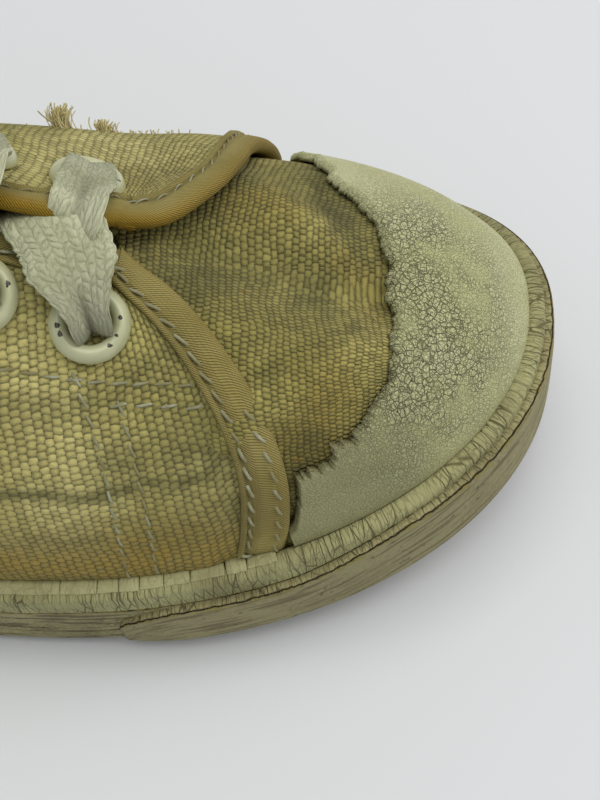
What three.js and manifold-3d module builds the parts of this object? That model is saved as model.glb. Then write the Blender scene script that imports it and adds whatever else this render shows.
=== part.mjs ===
// A worn low canvas sneaker for the right foot of a child, about EU 28, laced with flat laces.
// Millimetres. +X points to the toe, +Y to the inner side of the foot, +Z up. The sole stands on z = 0.
import * as THREE from 'three';
import { mergeVertices } from 'three/addons/utils/BufferGeometryUtils.js';
import Module from 'manifold-3d';

// Driving dimensions of the sole
const LENGTH = 186;
const BALL_WIDTH = 65;
const TOE_ARC = 57.5;
const HEEL_ARC = 30;
const TOE_ROUNDNESS = 2.18;
const HEEL_ROUNDNESS = 2.3;
const TOE_TIP_SHIFT = 3;
const HEEL_SHIFT = 1;
const TOE_SPRING = 10;
const SPRING_START = 14;
const FOXING_HEIGHT = 15.4;
const FOXING_WALL = 2.2;
const FOXING_LIFT = 0.6;
const BUMPER_WALL = 1.2;
const BUMPER_BELOW_TOP = 4.2;
const OUTSOLE_THICK = 5;
const GROOVE_DEPTH = 1.4;
const GROOVE_PITCH = 6;
const GROOVE_WIDTH = 2;
const INSOLE_THICK = 3;
const GAP = 0.3;

// Driving dimensions of the upper
const VAMP_INSET = 4.2;
const VAMP_WALL = 1.3;
const QUARTER_STEP = 1.1;
const BINDING_STEP = 0.5;
const BINDING_WIDTH = 4.5;
const CAP_WALL = 1.1;
const CAP_END = 0.217;
const STRIP_HEIGHT = 2;
const STRIP_WALL = 0.9;

// Eyelets, laces and tongue
const EYELET_COUNT = 5;
const EYELET_PITCH_X = 10.8;
const EYELET_RADIUS = 4.4;
const EYELET_HOLE = 2.5;
const EYELET_WALL = 0.4;
const EYELET_RIM = 1.3;
const LACE_WIDTH = 7;
const LACE_THICK = 1.3;
const LACE_ABOVE_EYELET = 2.85;
const LACE_OVER_EDGE = 4.6;
const TONGUE_THICK = 2;
const TONGUE_COVER = 0.28;
const TONGUE_PAST = 17;

const TOE_X = LENGTH / 2 - BUMPER_WALL;
const HEEL_X = -LENGTH / 2;
const OUTER = -1;
const INNER = 1;

// Each row of eyelets: where its first one sits, and how far the row stays from the edge of its quarter
const EYELET_ROW = {
  [OUTER]: { firstX: 42.2, fromEdge: 7.4 },
  [INNER]: { firstX: 40, fromEdge: 5.8 },
};

// Half widths of the sole between heel and ball
const WAIST = [
  { x: HEEL_X + HEEL_ARC, outer: 25.5, inner: 26.5 },
  { x: HEEL_X + 50, outer: 25.6, inner: 25.2 },
  { x: HEEL_X + 72, outer: 26.6, inner: 23.6 },
  { x: HEEL_X + 97, outer: 30.4, inner: 27.6 },
  { x: TOE_X - TOE_ARC, outer: BALL_WIDTH / 2, inner: BALL_WIDTH / 2 },
];

// Wall of the upper, from toe tip (at 0) to heel (at 1): where its top edge lies on either side of midY,
// how far it rises straight up from the sole, how far it runs out from the top edge, how steeply it falls
const WALL = [
  { at: 0.0, topX: 44.5, topY: 0, midY: -2.9, topZ: 45.2, rise: 8.2, reach: 26, fall: 10 },
  { at: 0.11, topX: 44.4, topY: 1.1, midY: -2.9, topZ: 45.2, rise: 10.5, reach: 21, fall: 12 },
  { at: 0.22, topX: 43.6, topY: 2.2, midY: -2.9, topZ: 45.8, rise: 15.2, reach: 16, fall: 17 },
  { at: 0.3, topX: 40, topY: 2.5, midY: -2.9, topZ: 48, rise: 17.5, reach: 15, fall: 24 },
  { at: 0.373, topX: 28, topY: 2.7, midY: -2.4, topZ: 54.8, rise: 21, reach: 16, fall: 34 },
  { at: 0.45, topX: 12, topY: 3.4, midY: -1.6, topZ: 61.8, rise: 24, reach: 17, fall: 44 },
  { at: 0.53, topX: -5, topY: 5.4, midY: -0.8, topZ: 66.6, rise: 25, reach: 18, fall: 54 },
  { at: 0.6, topX: -17, topY: 10, midY: -0.3, topZ: 67.6, rise: 21, reach: 15, fall: 66 },
  { at: 0.68, topX: -31, topY: 17.4, midY: 0, topZ: 56.5, rise: 13, reach: 12, fall: 80 },
  { at: 0.77, topX: -48, topY: 20.6, midY: 0, topZ: 50, rise: 11, reach: 10, fall: 84 },
  { at: 0.87, topX: -68, topY: 19.2, midY: 0, topZ: 51.5, rise: 12, reach: 10, fall: 84 },
  { at: 0.94, topX: -81.5, topY: 12, midY: 0, topZ: 56.5, rise: 14, reach: 12, fall: 82 },
  { at: 1.0, topX: -86, topY: 0, midY: 0, topZ: 58.5, rise: 15, reach: 13, fall: 82 },
];

// Front edge of each quarter: where it lies round the shoe, by its height up the wall
const QUARTER_EDGE = [
  { up: 0.0, at: 0.224 },
  { up: 0.2, at: 0.208 },
  { up: 0.45, at: 0.18 },
  { up: 0.65, at: 0.146 },
  { up: 0.8, at: 0.115 },
  { up: 0.9, at: 0.1 },
  { up: 1.0, at: 0.11 },
];

// Rear edge of the toe cap: share of its half girth, and height up the wall on the outer and inner side
const CAP_EDGE = [
  { share: 0.0, outer: 0.55, inner: 0.55 },
  { share: 0.3, outer: 0.48, inner: 0.57 },
  { share: 0.45, outer: 0.41, inner: 0.52 },
  { share: 0.6, outer: 0.35, inner: 0.46 },
  { share: 0.77, outer: 0.29, inner: 0.36 },
  { share: 0.9, outer: 0.23, inner: 0.26 },
  { share: 1.0, outer: 0.06, inner: 0.06 },
];

// Smooth curve through the rows of a table. A column that changes sign across its ends is odd.
function along(table, key, column, at, odd = false) {
  const last = table.length - 1;
  let i = 0;
  while (i < last - 1 && table[i + 1][key] < at) i += 1;
  const slope = (j) => {
    const a = table[Math.max(j - 1, 0)];
    const b = table[Math.min(j + 1, last)];
    const atEnd = j === 0 || j === last;
    return atEnd && !odd ? 0 : (b[column] - a[column]) / (b[key] - a[key]);
  };
  const span = table[i + 1][key] - table[i][key];
  const t = THREE.MathUtils.clamp((at - table[i][key]) / span, 0, 1);
  const [t2, t3] = [t * t, t * t * t];
  return (
    (2 * t3 - 3 * t2 + 1) * table[i][column] +
    (t3 - 2 * t2 + t) * span * slope(i) +
    (3 * t2 - 2 * t3) * table[i + 1][column] +
    (t3 - t2) * span * slope(i + 1)
  );
}

// Outline of the foxing on one side, from toe tip to heel centre, as closely spaced points
function outlinePoints(side) {
  const steps = 120;
  const half = BALL_WIDTH / 2;
  const points = [];
  for (let i = 0; i <= steps; i += 1) {
    const turn = (i / steps) * (Math.PI / 2);
    const forward = Math.cos(turn) ** (2 / TOE_ROUNDNESS);
    const across = Math.sin(turn) ** (2 / TOE_ROUNDNESS);
    const reach = half - side * TOE_TIP_SHIFT;
    points.push([TOE_X - TOE_ARC * (1 - forward), TOE_TIP_SHIFT + side * reach * across]);
  }
  const column = side === OUTER ? 'outer' : 'inner';
  const [start, end] = [WAIST[0].x, WAIST[WAIST.length - 1].x];
  for (let i = 1; i < steps; i += 1) {
    const x = end + (start - end) * (i / steps);
    points.push([x, side * along(WAIST, 'x', column, x)]);
  }
  for (let i = 0; i <= steps; i += 1) {
    const turn = (i / steps) * (Math.PI / 2);
    const back = Math.sin(turn) ** (2 / HEEL_ROUNDNESS);
    const across = Math.cos(turn) ** (2 / HEEL_ROUNDNESS);
    const reach = WAIST[0][column] - side * HEEL_SHIFT;
    points.push([start - HEEL_ARC * back, HEEL_SHIFT + side * reach * across]);
  }
  return points;
}

function measure(points) {
  const lengths = [0];
  for (let i = 1; i < points.length; i += 1) {
    const step = Math.hypot(points[i][0] - points[i - 1][0], points[i][1] - points[i - 1][1]);
    lengths.push(lengths[i - 1] + step);
  }
  return { points, lengths, total: lengths[lengths.length - 1] };
}

const OUTLINE = { [OUTER]: measure(outlinePoints(OUTER)), [INNER]: measure(outlinePoints(INNER)) };

function outlineAt(side, at) {
  const { points, lengths, total } = OUTLINE[side];
  const wanted = THREE.MathUtils.clamp(at, 0, 1) * total;
  let [low, high] = [0, lengths.length - 1];
  while (high - low > 1) {
    const middle = (low + high) >> 1;
    if (lengths[middle] <= wanted) low = middle;
    else high = middle;
  }
  const t = (wanted - lengths[low]) / Math.max(lengths[high] - lengths[low], 1e-9);
  const mix = (a, b) => a + (b - a) * t;
  return [mix(points[low][0], points[high][0]), mix(points[low][1], points[high][1])];
}

// Point of the sole's outline moved outwards by "out", with its outward direction
function edge(side, at, out) {
  const step = 0.004;
  const a = outlineAt(side, Math.max(at - step, 0));
  const b = outlineAt(side, Math.min(at + step, 1));
  const normal = new THREE.Vector2((b[1] - a[1]) * side, (a[0] - b[0]) * side).normalize();
  if (at <= 0) normal.set(1, 0);
  if (at >= 1) normal.set(-1, 0);
  const [x, y] = outlineAt(side, at);
  return { x: x + normal.x * out, y: y + normal.y * out, normal };
}

// Height of the underside of the toe above the ground, and of the top of the foxing
function lift(x) {
  const share = Math.max(0, (x - SPRING_START) / (TOE_X - SPRING_START));
  return TOE_SPRING * share * share;
}

function foxingTop(x) {
  return FOXING_HEIGHT + 0.9 * lift(x);
}

// Lasted surface of the vamp: up = 0 at the foxing's top edge, up = 1 at the throat or collar
function lasted(side, at, up) {
  const foot = edge(side, at, -VAMP_INSET);
  const column = (name) => along(WALL, 'at', name, at);
  const fall = THREE.MathUtils.degToRad(column('fall'));
  const reach = column('reach');
  const p0 = new THREE.Vector3(foot.x, foot.y, foxingTop(foot.x));
  const p1 = p0.clone().add(new THREE.Vector3(0, 0, column('rise')));
  const topY = column('midY') + side * along(WALL, 'at', 'topY', at, true);
  const p3 = new THREE.Vector3(column('topX'), topY, column('topZ'));
  const level = Math.cos(fall);
  const downhill = new THREE.Vector3(foot.normal.x * level, foot.normal.y * level, -Math.sin(fall));
  const p2 = p3.clone().addScaledVector(downhill, reach);
  return new THREE.CubicBezierCurve3(p0, p1, p2, p3).getPoint(up);
}

// The same surface moved outwards by "out" along its own normal
function shell(side, at, up, out) {
  const step = 0.003;
  const point = lasted(side, at, up);
  const before = lasted(side, Math.max(at - step, 0), up);
  const after = lasted(side, Math.min(at + step, 1), up);
  const below = lasted(side, at, Math.max(up - step, 0));
  const above = lasted(side, at, Math.min(up + step, 1));
  const normal = after.sub(before).cross(above.sub(below)).multiplyScalar(side).normalize();
  if (at <= 0 || at >= 1) normal.setY(0).normalize();
  return point.addScaledVector(normal, out);
}

function wallLength(side, at) {
  const steps = 16;
  let length = 0;
  for (let i = 0; i < steps; i += 1) {
    length += lasted(side, at, i / steps).distanceTo(lasted(side, at, (i + 1) / steps));
  }
  return length;
}

// Closed mesh from a grid of points: rows wrap round, columns are capped, or the grid is a closed tube
function gridGeometry(grid, { closeRows = false, closeColumns = false } = {}) {
  const rows = grid.length;
  const columns = grid[0].length;
  const positions = grid.flat().flatMap((p) => [p.x, p.y, p.z]);
  const index = [];
  const at = (r, c) => (r % rows) * columns + (c % columns);
  for (let r = 0; r < rows - (closeRows ? 0 : 1); r += 1) {
    for (let c = 0; c < columns - (closeColumns ? 0 : 1); c += 1) {
      index.push(at(r, c), at(r, c + 1), at(r + 1, c + 1), at(r, c), at(r + 1, c + 1), at(r + 1, c));
    }
  }
  const geometry = new THREE.BufferGeometry();
  geometry.setAttribute('position', new THREE.Float32BufferAttribute(positions, 3));
  geometry.setIndex(index);
  return geometry;
}

const wasm = await Module();
wasm.setup();

function solidOf(geometry) {
  const bare = new THREE.BufferGeometry();
  const source = geometry.index ? geometry.toNonIndexed() : geometry;
  bare.setAttribute('position', source.getAttribute('position'));
  const merged = mergeVertices(bare, 1e-3);
  const mesh = new wasm.Mesh({
    numProp: 3,
    vertProperties: new Float32Array(merged.attributes.position.array),
    triVerts: new Uint32Array(merged.index.array),
  });
  return new wasm.Manifold(mesh);
}

function geometryOf(solid) {
  const mesh = solid.getMesh();
  const geometry = new THREE.BufferGeometry();
  geometry.setAttribute('position', new THREE.BufferAttribute(new Float32Array(mesh.vertProperties), 3));
  geometry.setIndex(new THREE.BufferAttribute(new Uint32Array(mesh.triVerts), 1));
  return geometry;
}

// Turns a closed mesh the right way out
function outwards(geometry) {
  const p = geometry.attributes.position;
  const index = geometry.index.array;
  const corner = [new THREE.Vector3(), new THREE.Vector3(), new THREE.Vector3()];
  let volume = 0;
  for (let i = 0; i < index.length; i += 3) {
    corner.forEach((v, k) => v.fromBufferAttribute(p, index[i + k]));
    volume += corner[0].dot(corner[1].clone().cross(corner[2]));
  }
  if (volume < 0) {
    for (let i = 0; i < index.length; i += 3) [index[i + 1], index[i + 2]] = [index[i + 2], index[i + 1]];
  }
  return geometry;
}

// A ring or strip of a fixed cross-section round the sole: section(side, at, x) gives [out, z] points
function band(stations, section, closed) {
  const grid = stations.map(({ side, at }) => {
    const [x] = outlineAt(side, at);
    return section(side, at, x).map(([out, z]) => {
      const p = edge(side, at, out);
      return new THREE.Vector3(p.x, p.y, z);
    });
  });
  const tube = gridGeometry(grid, { closeRows: closed, closeColumns: true });
  return closed ? outwards(tube) : outwards(withCaps(tube, grid));
}

// Closes both ends of a tube with a fan about each end's middle
function withCaps(tube, grid) {
  const positions = Array.from(tube.attributes.position.array);
  const index = Array.from(tube.index.array);
  const columns = grid[0].length;
  [0, grid.length - 1].forEach((row, end) => {
    const middle = grid[row].reduce((sum, p) => sum.add(p), new THREE.Vector3()).divideScalar(columns);
    const centre = positions.length / 3;
    positions.push(middle.x, middle.y, middle.z);
    for (let c = 0; c < columns; c += 1) {
      const a = row * columns + c;
      const b = row * columns + ((c + 1) % columns);
      index.push(...(end === 0 ? [a, centre, b] : [a, b, centre]));
    }
  });
  const geometry = new THREE.BufferGeometry();
  geometry.setAttribute('position', new THREE.Float32BufferAttribute(positions, 3));
  geometry.setIndex(index);
  return geometry;
}

// Stations round the whole sole, from toe tip along the outer side to the heel and back
function roundTheSole(perSide) {
  const stations = [];
  for (let i = 0; i < perSide; i += 1) stations.push({ side: OUTER, at: i / perSide });
  for (let i = perSide; i > 0; i -= 1) stations.push({ side: INNER, at: i / perSide });
  return stations;
}

// Stations along the outer side from "end" to "turn", and back along the inner side to "end"
function stationsBetween(turn, end, perSide) {
  const stations = [];
  for (let i = 0; i <= perSide; i += 1) {
    stations.push({ side: OUTER, at: end + (turn - end) * (i / perSide) });
  }
  for (let i = 1; i <= perSide; i += 1) {
    stations.push({ side: INNER, at: turn + (end - turn) * (i / perSide) });
  }
  return stations;
}

// Outsole: a flat rubber plate with cross grooves, cut to the outline inside the foxing
function outsole() {
  const inset = -(FOXING_WALL + GAP);
  const outline = new THREE.Shape(
    roundTheSole(44).map(({ side, at }) => {
      const p = edge(side, at, inset);
      return new THREE.Vector2(p.x, p.y);
    }),
  );
  const margin = 5;
  const tall = OUTSOLE_THICK + TOE_SPRING + 2 * margin;
  const prism = new THREE.ExtrudeGeometry(outline, { depth: tall, bevelEnabled: false, steps: 1 });
  const [rear, front] = [HEEL_X - margin, TOE_X + margin];
  const [plainFrom, plainTo] = [WAIST[1].x, WAIST[3].x - 2 * GROOVE_PITCH];
  const under = [];
  for (let x = HEEL_X; x < TOE_X; x += GROOVE_PITCH) {
    const grooveFrom = x + GROOVE_PITCH - GROOVE_WIDTH;
    const grooveMiddle = grooveFrom + GROOVE_WIDTH / 2;
    under.push([x, lift(x)], [grooveFrom, lift(grooveFrom)]);
    if (x <= plainFrom || x >= plainTo) under.push([grooveMiddle, lift(grooveMiddle) + GROOVE_DEPTH]);
  }
  under.push([front, lift(front)]);
  const over = [];
  const topSteps = 14;
  for (let i = 0; i <= topSteps; i += 1) {
    const x = front + (rear - front) * (i / topSteps);
    over.push([x, OUTSOLE_THICK + lift(x)]);
  }
  const profile = new THREE.Shape([...under, ...over].map(([x, z]) => new THREE.Vector2(x, z)));
  const wide = BALL_WIDTH + 4 * margin;
  const slab = new THREE.ExtrudeGeometry(profile, { depth: wide, bevelEnabled: false, steps: 1 });
  slab.rotateX(Math.PI / 2);
  slab.translate(0, wide / 2, 0);
  return geometryOf(solidOf(prism).intersect(solidOf(slab)));
}

// Foxing: the rubber tape round the sole, with a plain band along its top and a stepped, ribbed side below
function foxing() {
  const section = (side, at, x) => {
    const [bottom, top] = [lift(x) + FOXING_LIFT, foxingTop(x)];
    const groove = top - BUMPER_BELOW_TOP;
    const foot = bottom + 2.5;
    const middle = (foot + groove) / 2;
    const [hollow, grooveDeep, bandIn] = [0.3, 0.45, 0.05];
    const round = 0.8;
    return [
      [-FOXING_WALL, bottom],
      [-round, bottom],
      [-bandIn, bottom + round],
      [0, foot],
      [-hollow, middle],
      [0, groove - 0.6],
      [-grooveDeep, groove],
      [-bandIn, groove + grooveDeep],
      [-bandIn, top - round],
      [-round, top],
      [-FOXING_WALL, top],
    ];
  };
  return band(roundTheSole(31), section, true);
}

// Toe bumper: a second strip of rubber round the toe, below the foxing's plain band, thin at its ends
function toeBumper() {
  const reach = 0.33;
  const taper = 0.04;
  const [thin, round, endHeight] = [0.1, 1, 5];
  const section = (side, at, x) => {
    const share = THREE.MathUtils.clamp((reach - at) / taper, 0, 1);
    const swell = Math.sqrt(share);
    const [bottom, top] = [lift(x) + FOXING_LIFT, foxingTop(x) - BUMPER_BELOW_TOP];
    const face = thin + GAP + (BUMPER_WALL - GAP) * swell;
    const shoulder = GAP + (face - GAP) * 0.6;
    const high = bottom + endHeight + (top - GAP - bottom - endHeight) * swell;
    return [
      [GAP, bottom + round],
      [shoulder, bottom + round],
      [face, bottom + 2 * round],
      [face, high - round],
      [shoulder, high],
      [GAP, high],
    ];
  };
  return band(stationsBetween(0, reach, 18), section, false);
}

// Thin rubber strip that covers the seam between foxing and canvas behind the toe cap
function foxingStrip() {
  const behindEdge = 0.012;
  const front = quarterEdge(0) + edgeWidth(OUTER, 0) + behindEdge;
  const round = 0.4;
  const grid = stationsBetween(1, front, 26).map(({ side, at }) => {
    const base = shell(side, at, 0.01, QUARTER_STEP + GAP);
    const { normal } = edge(side, at, 0);
    const z = foxingTop(base.x) + GAP;
    const profile = [
      [0, 0],
      [STRIP_WALL, 0],
      [STRIP_WALL, STRIP_HEIGHT - round],
      [STRIP_WALL - round, STRIP_HEIGHT],
      [0, STRIP_HEIGHT],
    ];
    return profile.map(([out, up]) => {
      return new THREE.Vector3(base.x + normal.x * out, base.y + normal.y * out, z + up);
    });
  });
  return outwards(withCaps(gridGeometry(grid, { closeColumns: true }), grid));
}

// Upper: one hollow canvas wall from the sole to the throat and collar. The quarters are a step thicker
// than the vamp, and the bound edge is a step thicker again
const VAMP_COLUMNS = 11;
const QUARTER_COLUMNS = 21;
const WALL_ROWS = 9;
const HAIR = 0.0012;

function quarterEdge(up) {
  return along(QUARTER_EDGE, 'up', 'at', up, true);
}

// Width of the bound front edge, as a share of the way round
function edgeWidth(side, up) {
  const step = 0.004;
  const a = lasted(side, quarterEdge(up), up);
  const b = lasted(side, quarterEdge(up) + step, up);
  return Math.min((BINDING_WIDTH * step) / a.distanceTo(b), 0.06);
}

function upperColumns(side, up) {
  const columns = [];
  const front = quarterEdge(up);
  for (let i = 0; i <= VAMP_COLUMNS; i += 1) {
    columns.push({ at: (front - HAIR) * (i / VAMP_COLUMNS), step: 0, bound: 0 });
  }
  const bound = front + edgeWidth(side, up);
  columns.push({ at: front + HAIR, step: 1, bound: 1 });
  columns.push({ at: bound, step: 1, bound: 1 });
  for (let i = 0; i <= QUARTER_COLUMNS; i += 1) {
    const start = bound + 2 * HAIR;
    columns.push({ at: start + (1 - start) * (i / QUARTER_COLUMNS), step: 1, bound: 0 });
  }
  return columns;
}

function upper() {
  const count = upperColumns(OUTER, 0).length;
  const order = [];
  for (let i = 0; i < count; i += 1) order.push([OUTER, i]);
  for (let i = count - 2; i > 0; i -= 1) order.push([INNER, i]);
  const grid = order.map(([side, i]) => {
    const first = upperColumns(side, 0)[i];
    const foot = edge(side, first.at, -VAMP_INSET);
    const baseZ = OUTSOLE_THICK + lift(foot.x) + GAP;
    const bindingFrom = 1 - BINDING_WIDTH / wallLength(side, first.at);
    const ups = [];
    for (let r = 0; r <= WALL_ROWS; r += 1) ups.push({ up: bindingFrom * (r / WALL_ROWS), top: 0 });
    ups.push({ up: bindingFrom + 0.006, top: 1 }, { up: 1, top: 1 });
    const out = ({ up, top }) => {
      const column = upperColumns(side, up)[i];
      const thick = column.step * (QUARTER_STEP + BINDING_STEP * Math.max(column.bound, top));
      return shell(side, column.at, up, thick);
    };
    const into = ({ up }) => shell(side, upperColumns(side, up)[i].at, up, -VAMP_WALL);
    const sunk = (point) => new THREE.Vector3(point.x, point.y, baseZ);
    const outer = ups.map(out);
    const inside = ups.map(into);
    const [outerFoot, innerFoot] = [lasted(side, first.at, 0), inside[0].clone()];
    return [sunk(outerFoot), outerFoot, ...outer, ...inside.reverse(), sunk(innerFoot)];
  });
  const wall = outwards(gridGeometry(grid, { closeRows: true, closeColumns: true }));
  let solid = solidOf(wall);
  eachEyelet((seat) => {
    solid = solid.subtract(solidOf(placed(drill(), seat)));
  });
  return geometryOf(solid);
}

function drill() {
  const radius = EYELET_HOLE + EYELET_WALL + GAP;
  return new THREE.CylinderGeometry(radius, radius, 8, 10);
}

// Toe cap: a moulded rubber cap over the vamp, with its rear edge curving back to the foxing on each side
function toeCap() {
  const across = 19;
  const rows = 6;
  const lowest = 0.012;
  const columns = [];
  for (let i = 0; i <= 2 * across; i += 1) {
    const share = 1 - i / across;
    columns.push({ side: share >= 0 ? OUTER : INNER, share: Math.abs(share) });
  }
  const point = ({ side, share }, k, out) => {
    const column = side === OUTER ? 'outer' : 'inner';
    const up = lowest + (along(CAP_EDGE, 'share', column, share) - lowest) * k;
    return shell(side, CAP_END * share, up, out);
  };
  const grid = columns.map((column) => {
    const outer = [];
    const inside = [];
    for (let r = 0; r <= rows; r += 1) {
      const out = GAP + CAP_WALL * (r === rows ? 0.6 : 1);
      outer.push(point(column, r / rows, out));
      inside.push(point(column, r / rows, GAP));
    }
    return [...outer, ...inside.reverse()];
  });
  return outwards(stripCaps(gridGeometry(grid, { closeColumns: true }), grid));
}

// Closes both ends of a flat folded section with quads between its outer and inner half
function stripCaps(tube, grid) {
  const positions = Array.from(tube.attributes.position.array);
  const index = Array.from(tube.index.array);
  const columns = grid[0].length;
  [0, grid.length - 1].forEach((row, end) => {
    for (let c = 0; c < columns / 2 - 1; c += 1) {
      const [a, b] = [row * columns + c, row * columns + c + 1];
      const [d, e] = [row * columns + columns - 1 - c, row * columns + columns - 2 - c];
      index.push(...(end === 0 ? [a, d, e, a, e, b] : [a, e, d, a, b, e]));
    }
  });
  const geometry = new THREE.BufferGeometry();
  geometry.setAttribute('position', new THREE.Float32BufferAttribute(positions, 3));
  geometry.setIndex(index);
  return geometry;
}

// Insole: a soft sheet that lies on the outsole inside the upper
function insole() {
  const inset = -(VAMP_INSET + VAMP_WALL + 2 * GAP);
  const grid = roundTheSole(30).map(({ side, at }) => {
    const p = edge(side, at, inset);
    const z = OUTSOLE_THICK + GAP + lift(p.x);
    return [new THREE.Vector3(p.x, p.y, z), new THREE.Vector3(p.x, p.y, z + INSOLE_THICK)];
  });
  const rim = gridGeometry(grid, { closeRows: true });
  const positions = Array.from(rim.attributes.position.array);
  const index = Array.from(rim.index.array);
  const count = grid.length;
  // The sheet is closed by strips that join opposite sides
  for (let i = 0; i < count / 2; i += 1) {
    const [a, b] = [i, i + 1];
    const [d, e] = [(count - i) % count, (count - i - 1) % count];
    [0, 1].forEach((level) => {
      const v = (n) => n * 2 + level;
      const faces = [];
      if (a !== d) faces.push([v(a), v(b), v(d)]);
      if (b !== e) faces.push([v(b), v(e), v(d)]);
      faces.forEach((f) => index.push(...(level === 0 ? f : [f[0], f[2], f[1]])));
    });
  }
  const geometry = new THREE.BufferGeometry();
  geometry.setAttribute('position', new THREE.Float32BufferAttribute(positions, 3));
  geometry.setIndex(index);
  return outwards(geometry);
}

// Tongue: a padded strip below the two quarters, from the throat to above the last eyelets
function tongue() {
  const [front, rear] = [0.315, 0.575];
  const [stepsInside, stepsPast] = [9, 5];
  const [narrowing, droop, rise] = [0.42, 0.55, 0.75];
  const under = VAMP_WALL + GAP;
  const fromSide = [0, 0.35, 0.7, 1];
  const ups = fromSide.map((share) => 1 - TONGUE_COVER * (1 - share));
  const section = (at) => {
    const line = ups.map((up) => [OUTER, up]);
    [...ups].reverse().forEach((up) => line.push([INNER, up]));
    return {
      top: line.map(([side, up]) => shell(side, at, up, -under)),
      low: line.map(([side, up]) => shell(side, at, up, -under - TONGUE_THICK)),
    };
  };
  const grid = [];
  for (let i = 0; i <= stepsInside; i += 1) {
    const { top, low } = section(front + (rear - front) * (i / stepsInside));
    grid.push([...top, ...low.reverse()]);
  }
  const last = grid[grid.length - 1];
  const crest = last[ups.length - 1];
  const midY = along(WALL, 'at', 'midY', rear);
  for (let i = 1; i <= stepsPast; i += 1) {
    const share = i / stepsPast;
    const move = new THREE.Vector3(-1, 0, rise).normalize().multiplyScalar(TONGUE_PAST * share);
    const narrow = 1 - narrowing * Math.sin(Math.PI * share ** 0.7);
    grid.push(last.map((p) => {
      const lifted = Math.max((crest.z - p.z) * droop * share, 0);
      return new THREE.Vector3(p.x, midY + (p.y - midY) * narrow, p.z + lifted).add(move);
    }));
  }
  return outwards(stripCaps(gridGeometry(grid, { closeColumns: true }), grid));
}

// Where an eyelet sits: its centre on the quarter and the outward direction of its axis
function eyeletSeat(side, number) {
  const { firstX, fromEdge } = EYELET_ROW[side];
  const wantedX = firstX - EYELET_PITCH_X * number;
  let [low, high] = [0.22, 0.7];
  const spot = (at) => 1 - fromEdge / wallLength(side, at);
  for (let i = 0; i < 24; i += 1) {
    const middle = (low + high) / 2;
    if (lasted(side, middle, spot(middle)).x > wantedX) low = middle;
    else high = middle;
  }
  const at = (low + high) / 2;
  const centre = shell(side, at, spot(at), QUARTER_STEP);
  const axis = shell(side, at, spot(at), QUARTER_STEP + 1).sub(centre).normalize();
  return { centre, axis, at };
}

function eachEyelet(make) {
  [OUTER, INNER].forEach((side) => {
    for (let n = 0; n < EYELET_COUNT; n += 1) make(eyeletSeat(side, n), side, n);
  });
}

function placed(geometry, { centre, axis }) {
  const turn = new THREE.Quaternion().setFromUnitVectors(new THREE.Vector3(0, 1, 0), axis);
  return geometry.applyQuaternion(turn).translate(centre.x, centre.y, centre.z);
}

// Eyelet: a rolled metal ring with a short barrel through the canvas
function eyelet() {
  const barrel = EYELET_HOLE + EYELET_WALL;
  const [seat, barrelEnd, facets] = [1, -2.4, 12];
  const [shoulderIn, shoulderDrop] = [0.7, 0.2];
  const profile = [
    [EYELET_HOLE, barrelEnd],
    [barrel, barrelEnd],
    [barrel, seat],
    [EYELET_RADIUS, seat],
    [EYELET_RADIUS - shoulderIn, seat + EYELET_RIM - shoulderDrop],
    [(EYELET_RADIUS + EYELET_HOLE) / 2, seat + EYELET_RIM],
    [EYELET_HOLE, seat],
    [EYELET_HOLE, barrelEnd],
  ];
  const ring = new THREE.LatheGeometry(profile.map(([r, y]) => new THREE.Vector2(r, y)), facets);
  const bare = new THREE.BufferGeometry();
  bare.setAttribute('position', ring.getAttribute('position'));
  bare.setIndex(ring.index);
  return outwards(mergeVertices(bare, 1e-3));
}

// Laces: each crossing is two flat bars, joined where they cross. A bar leaves its eyelet, runs over the
// edge of its own quarter and ends at the edge of the other one, where the real lace goes under.
function laceBar(side, number) {
  const seat = eyeletSeat(side, number);
  const next = eyeletSeat(-side, number + 1);
  const [leaves, arrives] = [0.3, 0.68];
  const over = seat.at + (next.at - seat.at) * leaves;
  const under = seat.at + (next.at - seat.at) * arrives;
  const edgeOver = shell(side, over, 1, LACE_OVER_EDGE);
  const edgeUnder = lasted(-side, under, 1);
  const ridge = edgeOver.clone().lerp(lasted(-side, over, 1), 0.5);
  const ridgeZ = Math.max(edgeOver.z, ridge.z) + 1.2;
  const middle = new THREE.Vector3((edgeOver.x + edgeUnder.x) / 2, ridge.y, ridgeZ);
  const [endIn, endAbove] = [0.4, 1.6];
  const end = new THREE.Vector3(edgeUnder.x, edgeUnder.y + side * endIn, edgeUnder.z + endAbove);
  const start = seat.centre.clone().addScaledVector(seat.axis, LACE_ABOVE_EYELET);
  const path = new THREE.CatmullRomCurve3([start, edgeOver, middle, end], false, 'centripetal');
  const ridgeUp = new THREE.Vector3(-0.42, 0, 0.91);
  const steps = 8;
  const half = LACE_WIDTH / 2;
  const grid = [];
  for (let i = 0; i <= steps; i += 1) {
    const t = i / steps;
    const point = path.getPoint(t);
    const up = seat.axis.clone().lerp(ridgeUp, Math.min(1, t * 1.6)).normalize();
    const across = path.getTangent(t).cross(up).normalize();
    const corner = (w, h) => point.clone().addScaledVector(across, w).addScaledVector(up, h);
    grid.push([corner(-half, 0), corner(half, 0), corner(half, LACE_THICK), corner(-half, LACE_THICK)]);
  }
  return outwards(withCaps(gridGeometry(grid, { closeColumns: true }), grid));
}

function laceCrossing(number) {
  return geometryOf(solidOf(laceBar(OUTER, number)).add(solidOf(laceBar(INNER, number))));
}

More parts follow.
